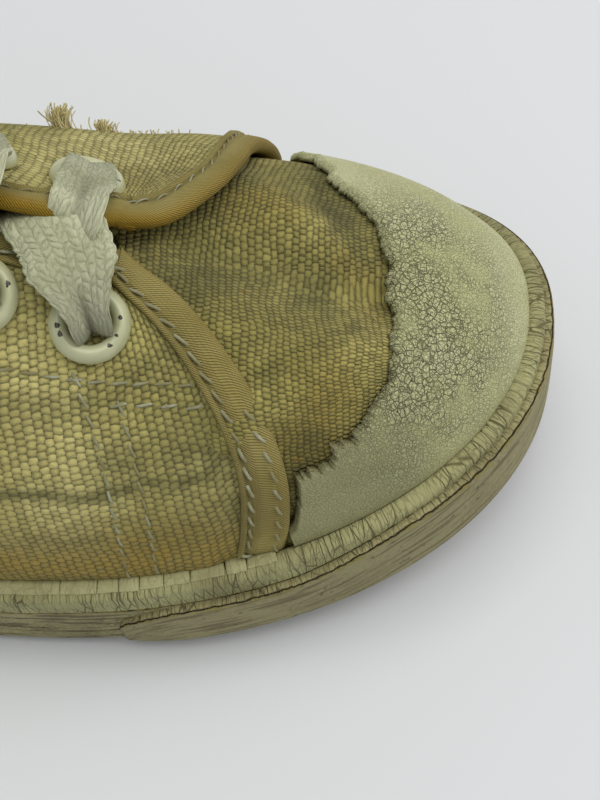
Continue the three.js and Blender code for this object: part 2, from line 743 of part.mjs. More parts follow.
// Materials and assembly
const canvas = new THREE.MeshStandardMaterial({ color: 0x9c8b5a, roughness: 0.95, metalness: 0 });
const lining = new THREE.MeshStandardMaterial({ color: 0xa89a70, roughness: 0.95, metalness: 0 });
const capRubber = new THREE.MeshStandardMaterial({ color: 0xa5a47c, roughness: 0.7, metalness: 0 });
const soleRubber = new THREE.MeshStandardMaterial({ color: 0x8c8762, roughness: 0.8, metalness: 0 });
const treadRubber = new THREE.MeshStandardMaterial({ color: 0x8a6f49, roughness: 0.8, metalness: 0 });
const paintedMetal = new THREE.MeshStandardMaterial({ color: 0xc9c7ac, roughness: 0.4, metalness: 0.2 });
const laceCotton = new THREE.MeshStandardMaterial({ color: 0xb4b3a0, roughness: 0.95, metalness: 0 });

const shoe = new THREE.Group();

function put(name, geometry, material) {
  const mesh = new THREE.Mesh(geometry, material);
  mesh.name = name;
  shoe.add(mesh);
}

put('outsole', outsole(), treadRubber);
put('foxing', foxing(), soleRubber);
put('toe_bumper', toeBumper(), soleRubber);
put('foxing_strip', foxingStrip(), capRubber);
put('upper', upper(), canvas);
put('toe_cap', toeCap(), capRubber);
put('insole', insole(), lining);
put('tongue', tongue(), canvas);
eachEyelet((seat, side, n) => {
  put(`eyelet_${side === OUTER ? 'outer' : 'inner'}_${n + 1}`, placed(eyelet(), seat), paintedMetal);
});
for (let n = 0; n < EYELET_COUNT - 1; n += 1) put(`lace_crossing_${n + 1}`, laceCrossing(n), laceCotton);

// The origin is the middle of the footprint of the whole shoe
const box = new THREE.Box3().setFromObject(shoe);
const middle = box.getCenter(new THREE.Vector3());
shoe.position.set(-middle.x, -middle.y, 0);

export default shoe;
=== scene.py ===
"""A worn low canvas sneaker for the right foot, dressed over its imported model.

Metres in the scene; the shoe's own sizes are worked out in millimetres. +X toe, +Y inner side, +Z up.
"""

import math
from functools import partial

import bpy
import numpy as np
from mathutils import Matrix, Vector


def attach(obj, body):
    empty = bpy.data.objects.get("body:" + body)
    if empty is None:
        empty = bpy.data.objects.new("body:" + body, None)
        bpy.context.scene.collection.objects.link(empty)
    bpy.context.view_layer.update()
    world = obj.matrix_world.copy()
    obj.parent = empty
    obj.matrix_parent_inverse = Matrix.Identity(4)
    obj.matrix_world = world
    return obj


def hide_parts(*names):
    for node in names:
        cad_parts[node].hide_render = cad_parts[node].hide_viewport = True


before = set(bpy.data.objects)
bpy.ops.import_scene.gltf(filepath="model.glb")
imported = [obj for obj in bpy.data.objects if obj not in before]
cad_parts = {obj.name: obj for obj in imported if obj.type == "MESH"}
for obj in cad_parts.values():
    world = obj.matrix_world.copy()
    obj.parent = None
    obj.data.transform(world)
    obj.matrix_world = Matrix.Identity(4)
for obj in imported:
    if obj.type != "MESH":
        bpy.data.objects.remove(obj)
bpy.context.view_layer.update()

# Camera, floor and light. The camera looks down on the toe half from the outer side, a little rolled.
# The floor is a plain pale board. A wide soft box overhead and a smaller one past the toe light a pale room.
camera = bpy.data.objects.new("camera", bpy.data.cameras.new("camera"))
bpy.context.scene.collection.objects.link(camera)
turn, tilt, roll = (math.radians(angle) for angle in (-14.52, 58.14, -14.48))
level = Vector((math.cos(turn), -math.sin(turn), 0))
looking = Vector((math.sin(turn), math.cos(turn), 0)) * math.cos(tilt) - Vector((0, 0, math.sin(tilt)))
upright = level.cross(looking)
frame_right = level * math.cos(roll) + upright * math.sin(roll)
frame_top = upright * math.cos(roll) - level * math.sin(roll)
stand = Matrix.Translation((0.07925, -0.07733, 0.13519))
camera.matrix_world = stand @ Matrix((frame_right, frame_top, -looking)).transposed().to_4x4()
camera.data.sensor_width = 36
camera.data.lens = 48.98
camera.data.clip_start = 0.01
bpy.context.scene.camera = camera
bpy.context.scene.view_settings.view_transform = "Standard"


class Finish:
    """One material and the nodes that make it. A socket takes a number, a colour or another socket."""

    def __init__(self, name, roughness=0.9):
        self.material = bpy.data.materials.new(name)
        self.material.use_nodes = True
        self.tree = self.material.node_tree
        self.shader = self.tree.nodes["Principled BSDF"]
        self.shader.inputs["Roughness"].default_value = roughness
        self.shader.inputs["Specular IOR Level"].default_value = 0.25

    def put(self, socket, value):
        if isinstance(value, bpy.types.NodeSocket):
            self.tree.links.new(value, socket)
        elif isinstance(value, (tuple, list)) and socket.type == "RGBA" and len(value) == 3:
            socket.default_value = (*value, 1)
        else:
            socket.default_value = value

    def node(self, kind, values=(), **settings):
        made = self.tree.nodes.new(kind)
        for key, value in settings.items():
            setattr(made, key, value)
        for key, value in dict(values).items():
            self.put(made.inputs[key], value)
        return made

    def maths(self, operation, a, b=0.0, c=0.0):
        made = self.node("ShaderNodeMath", {0: a, 1: b, 2: c}, operation=operation)
        return made.outputs[0]

    def scaled(self, value, low, high, to_low=0.0, to_high=1.0):
        ends = {"Value": value, "From Min": low, "From Max": high, "To Min": to_low, "To Max": to_high}
        return self.node("ShaderNodeMapRange", ends, interpolation_type="SMOOTHSTEP").outputs[0]

    def mixed(self, share, a, b):
        made = self.node("ShaderNodeMix", data_type="RGBA")
        self.put(made.inputs["Factor"], share)
        self.put(made.inputs[6], a)
        self.put(made.inputs[7], b)
        return made.outputs[2]

    def place(self):
        return self.node("ShaderNodeTexCoord").outputs["Object"]

    def cloth(self):
        return self.node("ShaderNodeUVMap", uv_map="weave").outputs["UV"]

    def painted(self, name):
        return self.node("ShaderNodeAttribute", attribute_name=name).outputs["Fac"]

    def stretched(self, vector, x, y, z=1.0):
        return self.node("ShaderNodeMapping", {"Vector": vector, "Scale": (x, y, z)}).outputs[0]

    def cloud(self, vector, scale, detail=3.0, roughness=0.55):
        values = {"Vector": vector, "Scale": scale, "Detail": detail, "Roughness": roughness}
        return self.node("ShaderNodeTexNoise", values).outputs["Fac"]

    def cells(self, vector, scale, feature="DISTANCE_TO_EDGE"):
        values = {"Vector": vector, "Scale": scale}
        return self.node("ShaderNodeTexVoronoi", values, feature=feature).outputs["Distance"]

    def wandering(self, vector, scale, detail, reach, seen_from=None):
        """The vector pushed about by soft noise, so that what is drawn on it doesn't run dead straight."""
        values = {"Vector": vector if seen_from is None else seen_from, "Scale": scale, "Detail": detail}
        noise = self.node("ShaderNodeTexNoise", values).outputs["Color"]
        push = self.node("ShaderNodeVectorMath", {0: noise, 1: reach}, operation="MULTIPLY").outputs[0]
        return self.node("ShaderNodeVectorMath", {0: vector, 1: push}).outputs[0]

    def relief(self, height, distance, before=None):
        made = self.node("ShaderNodeBump", {"Height": height, "Distance": distance, "Strength": 1.0})
        if before is not None:
            self.put(made.inputs["Normal"], before)
        return made.outputs[0]

    def done(self, colour, normal=None):
        self.put(self.shader.inputs["Base Color"], colour)
        if normal is not None:
            self.put(self.shader.inputs["Normal"], normal)
        return self.material


board = Finish("pale_board", roughness=0.75)
board_shade = board.cloud(board.place(), 3, detail=2)
board_colour = board.mixed(board_shade, (0.775, 0.79, 0.8), (0.80, 0.812, 0.82))
floor_mesh = bpy.data.meshes.new("floor")
floor_mesh.from_pydata([(-3, -3, 0), (3, -3, 0), (3, 3, 0), (-3, 3, 0)], [], [(0, 1, 2, 3)])
floor_mesh.materials.append(board.done(board_colour))
floor = bpy.data.objects.new("floor", floor_mesh)
bpy.context.scene.collection.objects.link(floor)


def soft_box(name, where, towards, size, power, colour):
    light = bpy.data.objects.new(name, bpy.data.lights.new(name, "AREA"))
    bpy.context.scene.collection.objects.link(light)
    light.data.shape = "SQUARE"
    light.data.size = size
    light.data.energy = power
    light.data.color = colour
    aim = (Vector(towards) - Vector(where)).to_track_quat("-Z", "Y")
    light.matrix_world = Matrix.Translation(where) @ aim.to_matrix().to_4x4()


soft_box("skylight", (0.25, 0.14, 1.25), (0.05, 0, 0), 1.1, 6.9, (1, 0.995, 0.98))
soft_box("window", (0.8, 0.1, 0.6), (0.05, 0, 0.02), 0.6, 2.4, (1, 0.99, 0.97))
room = bpy.data.worlds.new("room")
room.use_nodes = True
room.node_tree.nodes["Background"].inputs["Color"].default_value = (0.95, 0.975, 1, 1)
room.node_tree.nodes["Background"].inputs["Strength"].default_value = 0.45
bpy.context.scene.world = room

# Outsole: one moulded plate of brown rubber with cross grooves under heel and ball. It stays as it was
# packed; its finish has the scuffs, grit and pale rubbed ridges of a sole that has been walked on.
tread = Finish("tread_rubber", roughness=0.82)
tread_place = tread.place()
tread_scuff = tread.cloud(tread.stretched(tread_place, 60, 160, 60), 1.4, detail=5)
tread_grit = tread.cloud(tread_place, 900, detail=4, roughness=0.7)
tread_base = tread.mixed(tread.scaled(tread_scuff, 0.35, 0.65), (0.13, 0.085, 0.042), (0.235, 0.175, 0.10))
tread_colour = tread.mixed(tread.scaled(tread_grit, 0.55, 0.75), tread_base, (0.31, 0.275, 0.19))
tread_normal = tread.relief(tread_grit, 0.0003, tread.relief(tread_scuff, 0.0005))
tread_rubber = tread.done(tread_colour, tread_normal)
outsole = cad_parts["outsole"]
outsole.data.materials.clear()
outsole.data.materials.append(tread_rubber)

# Foxing: a tape of off-white rubber vulcanised round the sole and up over the canvas. A rounded band
# along its top has crazed across, a groove follows it, and the side below is rippled and brown with dirt.
length, ball_width = 186.0, 65.0
toe_x, heel_x = length / 2 - 1.2, -length / 2
toe_arc, toe_round, toe_shift = 57.5, 2.18, 3.0
heel_arc, heel_round, heel_shift = 30.0, 2.3, 1.0
waist_x = np.array([heel_x + heel_arc, heel_x + 50, heel_x + 72, heel_x + 97, toe_x - toe_arc])
waist_half = {-1: np.array([25.5, 25.6, 26.6, 30.4, 32.5]), 1: np.array([26.5, 25.2, 23.6, 27.6, 32.5])}
foxing_height, foxing_wall, foxing_lift = 15.4, 2.2, 0.6
toe_spring, spring_from, top_spring = 10.0, 14, 0.9
millimetre = 0.001
band_at, band_rows = [0, 0.15, 0.175, 0.2, 0.225, 1.0], [1.7, 1.8, 2.4, 3.4, 4.2, 4.2]


def smooth(keys, values, at, odd=False):
    """A curve through the rows of a table, level at both ends unless the column changes sign there."""
    keys, values, at = (np.asarray(item, float) for item in (keys, values, at))
    last = len(keys) - 1
    slopes = np.zeros(last + 1)
    for j in range(last + 1):
        a, b = max(j - 1, 0), min(j + 1, last)
        if odd or 0 < j < last:
            slopes[j] = (values[b] - values[a]) / (keys[b] - keys[a])
    i = np.clip(np.searchsorted(keys, at, side="left") - 1, 0, last - 1)
    span = keys[i + 1] - keys[i]
    t = np.clip((at - keys[i]) / span, 0, 1)
    first = (2 * t**3 - 3 * t**2 + 1) * values[i] + (t**3 - 2 * t**2 + t) * span * slopes[i]
    second = (3 * t**2 - 2 * t**3) * values[i + 1] + (t**3 - t**2) * span * slopes[i + 1]
    return first + second


def sole_outline(side):
    """Points round one side of the foxing, from toe tip to heel, with the share of the way at each."""
    turn = np.linspace(0, np.pi / 2, 241)
    reach = ball_width / 2 - side * toe_shift
    toe = np.c_[toe_x - toe_arc * (1 - np.cos(turn) ** (2 / toe_round)),
                toe_shift + side * reach * np.sin(turn) ** (2 / toe_round)]
    waist = np.linspace(toe_x - toe_arc, waist_x[0], 241)[1:-1]
    middle = np.c_[waist, side * smooth(waist_x, waist_half[side], waist)]
    back = waist_half[side][0] - side * heel_shift
    heel = np.c_[waist_x[0] - heel_arc * np.sin(turn) ** (2 / heel_round),
                 heel_shift + side * back * np.cos(turn) ** (2 / heel_round)]
    points = np.vstack([toe, middle, heel])
    steps = np.r_[0, np.cumsum(np.hypot(*np.diff(points, axis=0).T))]
    return points, steps / steps[-1], steps[-1]


outlines = {side: sole_outline(side) for side in (-1, 1)}


def outline_at(side, at):
    points, share, _ = outlines[side]
    return np.interp(at, share, points[:, 0]), np.interp(at, share, points[:, 1])


def sole_edge(side, at, out):
    """The sole's outline moved outwards by out, with its outward direction."""
    at = np.asarray(at, float)
    ahead = outline_at(side, np.maximum(at - 0.004, 0))
    behind = outline_at(side, np.minimum(at + 0.004, 1))
    nx, ny = (behind[1] - ahead[1]) * side, -(behind[0] - ahead[0]) * side
    size = np.hypot(nx, ny)
    ends = (at <= 0) | (at >= 1)
    nx = np.where(ends, np.where(at <= 0, 1.0, -1.0), nx / size)
    ny = np.where(ends, 0.0, ny / size)
    x, y = outline_at(side, at)
    return x + nx * out, y + ny * out, nx, ny


def toe_lift(x):
    """The sole's toe spring: how far it curves up off the floor in front of spring_from."""
    return toe_spring * np.maximum(0, (x - spring_from) / (toe_x - spring_from)) ** 2


def foxing_top(x):
    return foxing_height + top_spring * toe_lift(x)


def curve_through(controls, count):
    """count points evenly spaced on a smooth curve through the control points (last axis is the point)."""
    controls = np.asarray(controls, float)
    padded = np.concatenate([2 * controls[:1] - controls[1:2], controls, 2 * controls[-1:] - controls[-2:-1]])
    spans = len(controls) - 1
    t = np.linspace(0, spans, spans * 24 + 1)
    i = np.minimum(t.astype(int), spans - 1)
    f = (t - i).reshape((-1,) + (1,) * (controls.ndim - 1))
    a, b, c, d = (padded[i + k] for k in range(4))
    fine = 0.5 * (2 * b + (c - a) * f + (2 * a - 5 * b + 4 * c - d) * f**2 + (3 * b - a - 3 * c + d) * f**3)
    flat = fine.reshape(len(fine), -1)
    steps = np.r_[0, np.cumsum(np.linalg.norm(np.diff(flat, axis=0), axis=1))]
    wanted = np.linspace(0, steps[-1], count)
    even = np.stack([np.interp(wanted, steps, flat[:, k]) for k in range(flat.shape[1])], -1)
    return even.reshape((count,) + controls.shape[1:])


def tube(name, grid, weave, material, node_names=(), wrap_rows=False, paints=()):
    """A closed solid from rows of closed loops, in millimetres. The last point of each loop repeats its
    first, and so does the last row if the rows wrap. weave is the cloth or rubber's own map, in mm."""
    rows, columns = grid.shape[:2]
    index = np.arange(rows * columns).reshape(rows, columns)
    index[:, -1] = index[:, 0]
    if wrap_rows:
        index[-1] = index[0]
    corner = np.arange(rows * columns).reshape(rows, columns)

    def quads(table):
        return np.stack([table[:-1, :-1], table[:-1, 1:], table[1:, 1:], table[1:, :-1]], -1).reshape(-1, 4)

    faces, marks = [quads(index)], [quads(corner)]
    if not wrap_rows:
        half = (columns - 1) // 2
        k = np.arange(half)
        for row, flip in ((0, False), (rows - 1, True)):
            ring = index[row, :-1]
            n = columns - 1
            lid = np.stack([ring[k[:-1]], ring[n - 1 - k[:-1]], ring[n - 1 - k[1:]], ring[k[1:]]], -1)
            lid_mark = np.stack([corner[row][k[:-1]], corner[row][n - 1 - k[:-1]],
                                 corner[row][n - 1 - k[1:]], corner[row][k[1:]]], -1)
            faces.append(lid[:, ::-1] if flip else lid)
            marks.append(lid_mark[:, ::-1] if flip else lid_mark)
    faces, marks = np.vstack(faces), np.vstack(marks)
    points = grid.reshape(-1, 3)
    first, second = points[faces[:, 0]], points[faces[:, 2]]
    area = np.cross(second - first, points[faces[:, 3]] - points[faces[:, 1]])
    if np.einsum("ij,ij->", points[faces].mean(1), area) < 0:
        faces, marks = faces[:, ::-1], marks[:, ::-1]
    used, compact = np.unique(faces, return_inverse=True)
    mesh = bpy.data.meshes.new(name)
    mesh.vertices.add(len(used))
    mesh.vertices.foreach_set("co", (points[used] * millimetre).astype(np.float32).ravel())
    mesh.loops.add(faces.size)
    mesh.loops.foreach_set("vertex_index", compact.ravel().astype(np.int32))
    mesh.polygons.add(len(faces))
    mesh.polygons.foreach_set("loop_start", np.arange(0, faces.size, 4, dtype=np.int32))
    mesh.polygons.foreach_set("loop_total", np.full(len(faces), 4, np.int32))
    mesh.update(calc_edges=True)
    layer = mesh.uv_layers.new(name="weave")
    layer.data.foreach_set("uv", weave.reshape(-1, 2)[marks.ravel()].astype(np.float32).ravel())
    for key, values in dict(paints).items():
        paint = mesh.attributes.new(key, "FLOAT", "POINT")
        paint.data.foreach_set("value", np.asarray(values, np.float32).reshape(-1)[used])
    mesh.materials.append(material)
    mesh.validate()
    mesh.shade_smooth()
    made = bpy.data.objects.new(name, mesh)
    bpy.context.scene.collection.objects.link(made)
    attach(made, "root")
    if node_names:
        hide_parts(*node_names)
    return made


def run_lengths(grid):
    """Distance along each row's direction from its first point."""
    return np.concatenate([np.zeros((1,) + grid.shape[1:-1]),
                           np.cumsum(np.linalg.norm(np.diff(grid, axis=0), axis=-1), axis=0)])


def round_the_sole(per_side):
    """Stations from toe tip round the outer side to the heel and back along the inner side to the tip."""
    at = np.linspace(0, 1, per_side + 1)
    side = np.r_[np.full(per_side, -1), np.full(per_side + 1, 1)]
    return side, np.r_[at[:-1], at[::-1]]


def swept_band(side, at, section, count):
    """Loops of the section (out, z) at each station. The section is closed by repeating its first point."""
    x, _ = np.array([outline_at(s, a) for s, a in zip(side, at)]).T
    profile = np.stack([curve_through(section(xi, ai), count) for xi, ai in zip(x, at)])
    profile = np.concatenate([profile, profile[:, :1]], 1)
    grid = np.empty(profile.shape[:2] + (3,))
    for s in (-1, 1):
        rows = side == s
        px, py, _, _ = sole_edge(s, at[rows][:, None] + 0 * profile[rows][..., 0], profile[rows][..., 0])
        grid[rows] = np.stack([px, py, profile[rows][..., 1]], -1)
    return grid


def band_height(at):
    """The crazed band is a narrow lip round the toe and widens where the bumper ends."""
    return smooth(band_at, band_rows, at)


def foxing_section(x, at):
    bottom, top = toe_lift(x) + foxing_lift, foxing_top(x)
    groove = top - float(band_height(at))
    middle = (bottom + groove) / 2
    return [[-foxing_wall, top - 0.25], [-1.5, top], [-0.6, top - 0.12], [-0.15, top - 0.4], [0, top - 0.9],
            [0, groove + 0.4], [-0.08, groove + 0.15], [-0.3, groove], [-0.08, groove - 0.15],
            [0, groove - 0.7], [-0.25, middle], [0, bottom + 2.2], [-0.2, bottom + 0.9], [-1, bottom],
            [-foxing_wall, bottom]]


def from_edge_down(grid, level):
    """Distance down each section, measured from where it passes a level, so a finish can change there."""
    down = run_lengths(np.swapaxes(grid, 0, 1)).T
    for row in range(len(grid)):
        z = grid[row, :, 2]
        first = int(np.argmax(z))
        last = first + int(np.argmin(z[first:]))
        down[row] -= np.interp(-level[row], -z[first:last], down[row, first:last])
    return down


def rubber_finish(name, clean, side_tone, dirt, edge, ripple, crazing=1.0):
    """Old vulcanised rubber. Its map runs along the sole and down its side. Above edge it has crazed across
    and stayed pale; below edge it is ribbed along, pitted and brown."""
    rubber = Finish(name, roughness=0.66)
    spot = rubber.place()
    run = rubber.cloth()
    down = rubber.node("ShaderNodeSeparateXYZ", {"Vector": run}).outputs["Y"]
    chipped = rubber.cloud(rubber.stretched(run, 0.55, 0.4), 1, detail=4, roughness=0.65)
    level = rubber.maths("ADD", down, rubber.maths("MULTIPLY", rubber.maths("SUBTRACT", chipped, 0.5), 0.9))
    on_band = rubber.scaled(level, edge - 0.12, edge + 0.12, 1, 0)
    below = rubber.maths("SUBTRACT", 1.0, on_band)
    bent = rubber.wandering(run, 0.8, 3, (0.3, 0.15, 0))
    across = rubber.cells(rubber.stretched(bent, 0.85, 0.14), 1)
    hair = rubber.cells(rubber.stretched(bent, 2.2, 0.4), 1)
    amount = rubber.cloud(run, 0.16, detail=2)
    wide_crack = rubber.maths("MULTIPLY", rubber.scaled(across, 0.0, 0.045, crazing, 0),
                              rubber.scaled(amount, 0.32, 0.56, 0.25, 1.0))
    hair_crack = rubber.maths("MULTIPLY", rubber.scaled(hair, 0.0, 0.07, crazing, 0),
                              rubber.scaled(amount, 0.3, 0.7, 0.2, 0.5))
    cracks = rubber.maths("MULTIPLY", rubber.maths("MAXIMUM", wide_crack, hair_crack), on_band)
    ribs = rubber.cloud(rubber.stretched(run, 0.1, 1.25), 1, detail=2, roughness=0.5)
    pits = rubber.cloud(run, 1.5, detail=5, roughness=0.65)
    holes = rubber.maths("MULTIPLY", rubber.scaled(rubber.cells(run, 0.85, "F1"), 0.1, 0.27, 1, 0),
                         rubber.scaled(rubber.cloud(run, 0.35, detail=2), 0.45, 0.6))
    stain = rubber.cloud(spot, 75, detail=5, roughness=0.62)
    furrow = rubber.scaled(ribs, 0.38, 0.5, 1, 0)
    soil = rubber.scaled(rubber.maths("ADD", stain, rubber.maths("MULTIPLY", pits, 0.4)), 0.58, 0.86)
    base = rubber.mixed(rubber.scaled(pits, 0.35, 0.7), clean, [c * 1.12 for c in clean])
    sides = rubber.mixed(rubber.scaled(stain, 0.35, 0.68), side_tone, [c * 1.25 for c in side_tone])
    sides = rubber.mixed(rubber.maths("MULTIPLY", furrow, 0.75), sides, dirt)
    sides = rubber.mixed(rubber.maths("MULTIPLY", holes, 0.75), sides, dirt)
    both = rubber.mixed(below, base, sides)
    darkened = rubber.mixed(rubber.maths("MULTIPLY", soil, 0.5), both, dirt)
    # Painted shade: a dark line along the edge level, in the foxing's groove and along the bumper's top
    # joint.
    line = rubber.scaled(rubber.maths("ABSOLUTE", rubber.maths("SUBTRACT", level, edge)), 0.03, 0.2, 1, 0)
    yellow = rubber.scaled(level, edge + 0.1, edge + 1.1, 1, 0)
    yellowed = rubber.maths("MULTIPLY", rubber.maths("MULTIPLY", yellow, below),
                            rubber.scaled(chipped, 0.4, 0.6))
    aged = rubber.mixed(yellowed, darkened, (0.33, 0.265, 0.075))
    edge_shaded = rubber.mixed(rubber.maths("MULTIPLY", line, 0.85), aged, (0.055, 0.04, 0.015))
    colour = rubber.mixed(rubber.maths("MULTIPLY", cracks, 0.8), edge_shaded, (0.085, 0.068, 0.028))
    normal = rubber.relief(rubber.maths("MULTIPLY", ribs, below), ripple)
    normal = rubber.relief(rubber.maths("MULTIPLY", pits, rubber.scaled(below, 0, 1, 0.3, 1)), 0.0006, normal)
    sunk = rubber.maths("MAXIMUM", rubber.maths("MAXIMUM", cracks, line),
                        rubber.maths("MULTIPLY", holes, below))
    normal = rubber.relief(rubber.maths("MULTIPLY", sunk, -1), 0.00016, normal)
    return rubber.done(colour, normal)


foxing_rubber = rubber_finish("foxing_rubber", (0.40, 0.385, 0.18), (0.46, 0.42, 0.21), (0.12, 0.096, 0.04),
                              0.0, 0.0018)
foxing_side, foxing_at = round_the_sole(340)
foxing_grid = swept_band(foxing_side, foxing_at, foxing_section, 80)
foxing_run = np.r_[0, np.cumsum(np.linalg.norm(np.diff(foxing_grid[:, 0], axis=0), axis=1))]
foxing_groove = foxing_top(foxing_grid[:, 0, 0]) - band_height(foxing_at)
foxing_map = np.stack([np.repeat(foxing_run[:, None], foxing_grid.shape[1], 1),
                       from_edge_down(foxing_grid, foxing_groove)], -1)
tube("foxing_tape", foxing_grid, foxing_map, foxing_rubber, ["foxing"], wrap_rows=True)

# Toe bumper: a second strip of the same rubber pressed on round the toe, under the crazed band. Its tails
# are rounded, its top edge is chipped and yellow, and its face is pitted from kerbs.
bumper_reach, bumper_taper, bumper_gap, bumper_wall, bumper_root = 0.33, 0.04, 0.3, 1.2, 0.5


def bumper_section(x, at):
    swell = math.sqrt(min(max((bumper_reach - at) / bumper_taper, 0), 1))
    bottom, top = toe_lift(x) + foxing_lift, foxing_top(x) - float(band_height(at))
    face = bumper_gap + (bumper_wall - bumper_gap) * swell
    high = bottom + 5 + (top - 0.1 - bottom - 5) * swell
    return [[-bumper_root, high - 0.1], [face * 0.55, high], [face * 0.92, high - 0.3], [face, high - 1.1],
            [face + 0.05, high - 3], [face, bottom + 2.2], [face * 0.7, bottom + 0.9],
            [-bumper_root, bottom + 1.2]]


bumper_rubber = rubber_finish("bumper_rubber", (0.4, 0.36, 0.17), (0.37, 0.335, 0.17), (0.17, 0.135, 0.06),
                              0.0, 0.00045)
bumper_at = np.linspace(0, bumper_reach, 241)
bumper_side = np.r_[np.full(240, -1), np.full(241, 1)]
bumper_stations = np.r_[bumper_at[::-1][:-1], bumper_at]
bumper_grid = swept_band(bumper_side, bumper_stations, bumper_section, 44)
bumper_run = np.r_[0, np.cumsum(np.linalg.norm(np.diff(bumper_grid[:, 0], axis=0), axis=1))]
bumper_lip = bumper_grid[:, :, 2].max(axis=1) - 0.12
bumper_map = np.stack([np.repeat(bumper_run[:, None], bumper_grid.shape[1], 1),
                       from_edge_down(bumper_grid, bumper_lip)], -1)
tube("toe_bumper_strip", bumper_grid, bumper_map, bumper_rubber, ["toe_bumper"])

# Upper wall: the canvas vamp and the lining behind it, one hollow wall lasted over the foot form, tucked
# into the foxing and open at throat and collar. Old walking folds run across it behind the toe cap.
wall_at = [0, 0.11, 0.22, 0.3, 0.373, 0.45, 0.53, 0.6, 0.68, 0.77, 0.87, 0.94, 1.0]
wall_rows = {
    "top_x": [44.5, 44.4, 43.6, 40, 28, 12, -5, -17, -31, -48, -68, -81.5, -86],
    "top_y": [0, 1.1, 2.2, 2.5, 2.7, 3.4, 5.4, 10, 17.4, 20.6, 19.2, 12, 0],
    "mid_y": [-2.9, -2.9, -2.9, -2.9, -2.4, -1.6, -0.8, -0.3, 0, 0, 0, 0, 0],
    "top_z": [45.2, 45.2, 45.8, 48, 54.8, 61.8, 66.6, 67.6, 56.5, 50, 51.5, 56.5, 58.5],
    "rise": [8.2, 10.5, 15.2, 17.5, 21, 24, 25, 21, 13, 11, 12, 14, 15],
    "reach": [26, 21, 16, 15, 16, 17, 18, 15, 12, 10, 10, 12, 13],
    "fall": [10, 12, 17, 24, 34, 44, 54, 66, 80, 84, 84, 82, 82],
}
vamp_inset, vamp_wall = 4.2, 1.3


def lasted(side, at, up):
    """The foot form's surface: up is 0 at the foxing's top edge and 1 at the throat or collar."""
    at, up = np.broadcast_arrays(np.asarray(at, float), np.asarray(up, float))
    x, y, nx, ny = sole_edge(side, at, -vamp_inset)
    row = {key: smooth(wall_at, values, at, odd=key == "top_y") for key, values in wall_rows.items()}
    fall = np.radians(row["fall"])
    foot = np.stack([x, y, foxing_top(x)], -1)
    straight = foot + np.stack([0 * x, 0 * x, row["rise"]], -1)
    top = np.stack([row["top_x"], row["mid_y"] + side * row["top_y"], row["top_z"]], -1)
    slope = np.stack([nx * np.cos(fall), ny * np.cos(fall), -np.sin(fall)], -1)
    shoulder = top + slope * row["reach"][..., None]
    u = up[..., None]
    return (1 - u) ** 3 * foot + 3 * (1 - u) ** 2 * u * straight + 3 * (1 - u) * u * u * shoulder + u**3 * top


def outward(side, at, up):
    """Direction straight out of the foot form's surface."""
    at, up = np.broadcast_arrays(np.asarray(at, float), np.asarray(up, float))
    step = 0.003
    along = lasted(side, np.minimum(at + step, 1), up) - lasted(side, np.maximum(at - step, 0), up)
    rising = lasted(side, at, np.minimum(up + step, 1.2)) - lasted(side, at, np.maximum(up - step, 0))
    normal = np.cross(along, rising) * side
    normal[(at <= 0) | (at >= 1), 1] = 0
    return normal / np.linalg.norm(normal, axis=-1, keepdims=True)


def off_last(side, at, up, out):
    """A point on the foot form moved out from it by out millimetres."""
    return lasted(side, at, up) + outward(side, at, up) * np.asarray(out, float)[..., None]


def near_line(points, line):
    """Distance of each point from a line of short straight runs."""
    best = np.full(points.shape[:-1], 1e9)
    for a, b in zip(np.asarray(line[:-1], float), np.asarray(line[1:], float)):
        share = np.clip(((points - a) @ (b - a)) / ((b - a) @ (b - a)), 0, 1)
        best = np.minimum(best, np.linalg.norm(points - (a + share[..., None] * (b - a)), axis=-1))
    return best


def folds(points, table):
    """Height of listed folds: each is a line on the shoe, its half width and its height in mm."""
    total = np.zeros(points.shape[:-1])
    for line, width, height in table:
        total += height * np.exp(-((near_line(points, line) / width) ** 2))
    return total


vamp_folds = [
    ([(54, -1, 43.5), (57.4, -2.5, 42.4), (62.8, -3.5, 40.8), (68.2, -4.7, 38.8), (73, -5.4, 36.6)],
     4.6, -2.5),
    ([(66, 9, 38.5), (70, 3, 38), (72, -1, 37.4)], 3.2, -0.8),
    ([(57, -21, 36), (63.5, -15.5, 37), (69, -12, 36), (73, -9, 35)], 4.0, 2.2),
    ([(57.6, -16.9, 38.3), (62.9, -14.5, 38), (68.1, -11.4, 37.3), (72.9, -7.8, 36.2)], 0.9, -0.4),
    ([(65, 12.5, 37.1), (66.3, 7.1, 38.6), (67.7, 2.8, 38.9)], 0.6, -0.4),
    ([(70.5, -1, 38), (71.7, -4.5, 37.3), (72.5, -7.7, 36.4)], 0.6, -0.35),
    ([(56, 10, 41), (62.3, 5.3, 40.3), (65.8, 3.5, 39.5)], 3.4, 1.0),
]


def cloth_map(grid, lead, start, facing, from_last=False):
    """Where each point of a laid cloth was on the flat bolt, in mm: along the lead and across it. Each row
    of the grid starts from its own start, at its first point or its last."""
    face = np.cross(np.gradient(grid, axis=0), np.gradient(grid, axis=1)) * facing
    face /= np.maximum(np.linalg.norm(face, axis=-1, keepdims=True), 1e-9)
    along = lead - (lead * face).sum(-1, keepdims=True) * face
    along /= np.maximum(np.linalg.norm(along, axis=-1, keepdims=True), 1e-9)
    step = np.diff(grid, axis=1)
    moved = [(step * (way[:, 1:] + way[:, :-1]) / 2).sum(-1) for way in (along, np.cross(face, along))]
    total = np.cumsum(np.stack([np.pad(run, ((0, 0), (1, 0))) for run in moved], -1), axis=1)
    if from_last:
        total -= total[:, -1:]
    return np.asarray(start)[:, None] + total


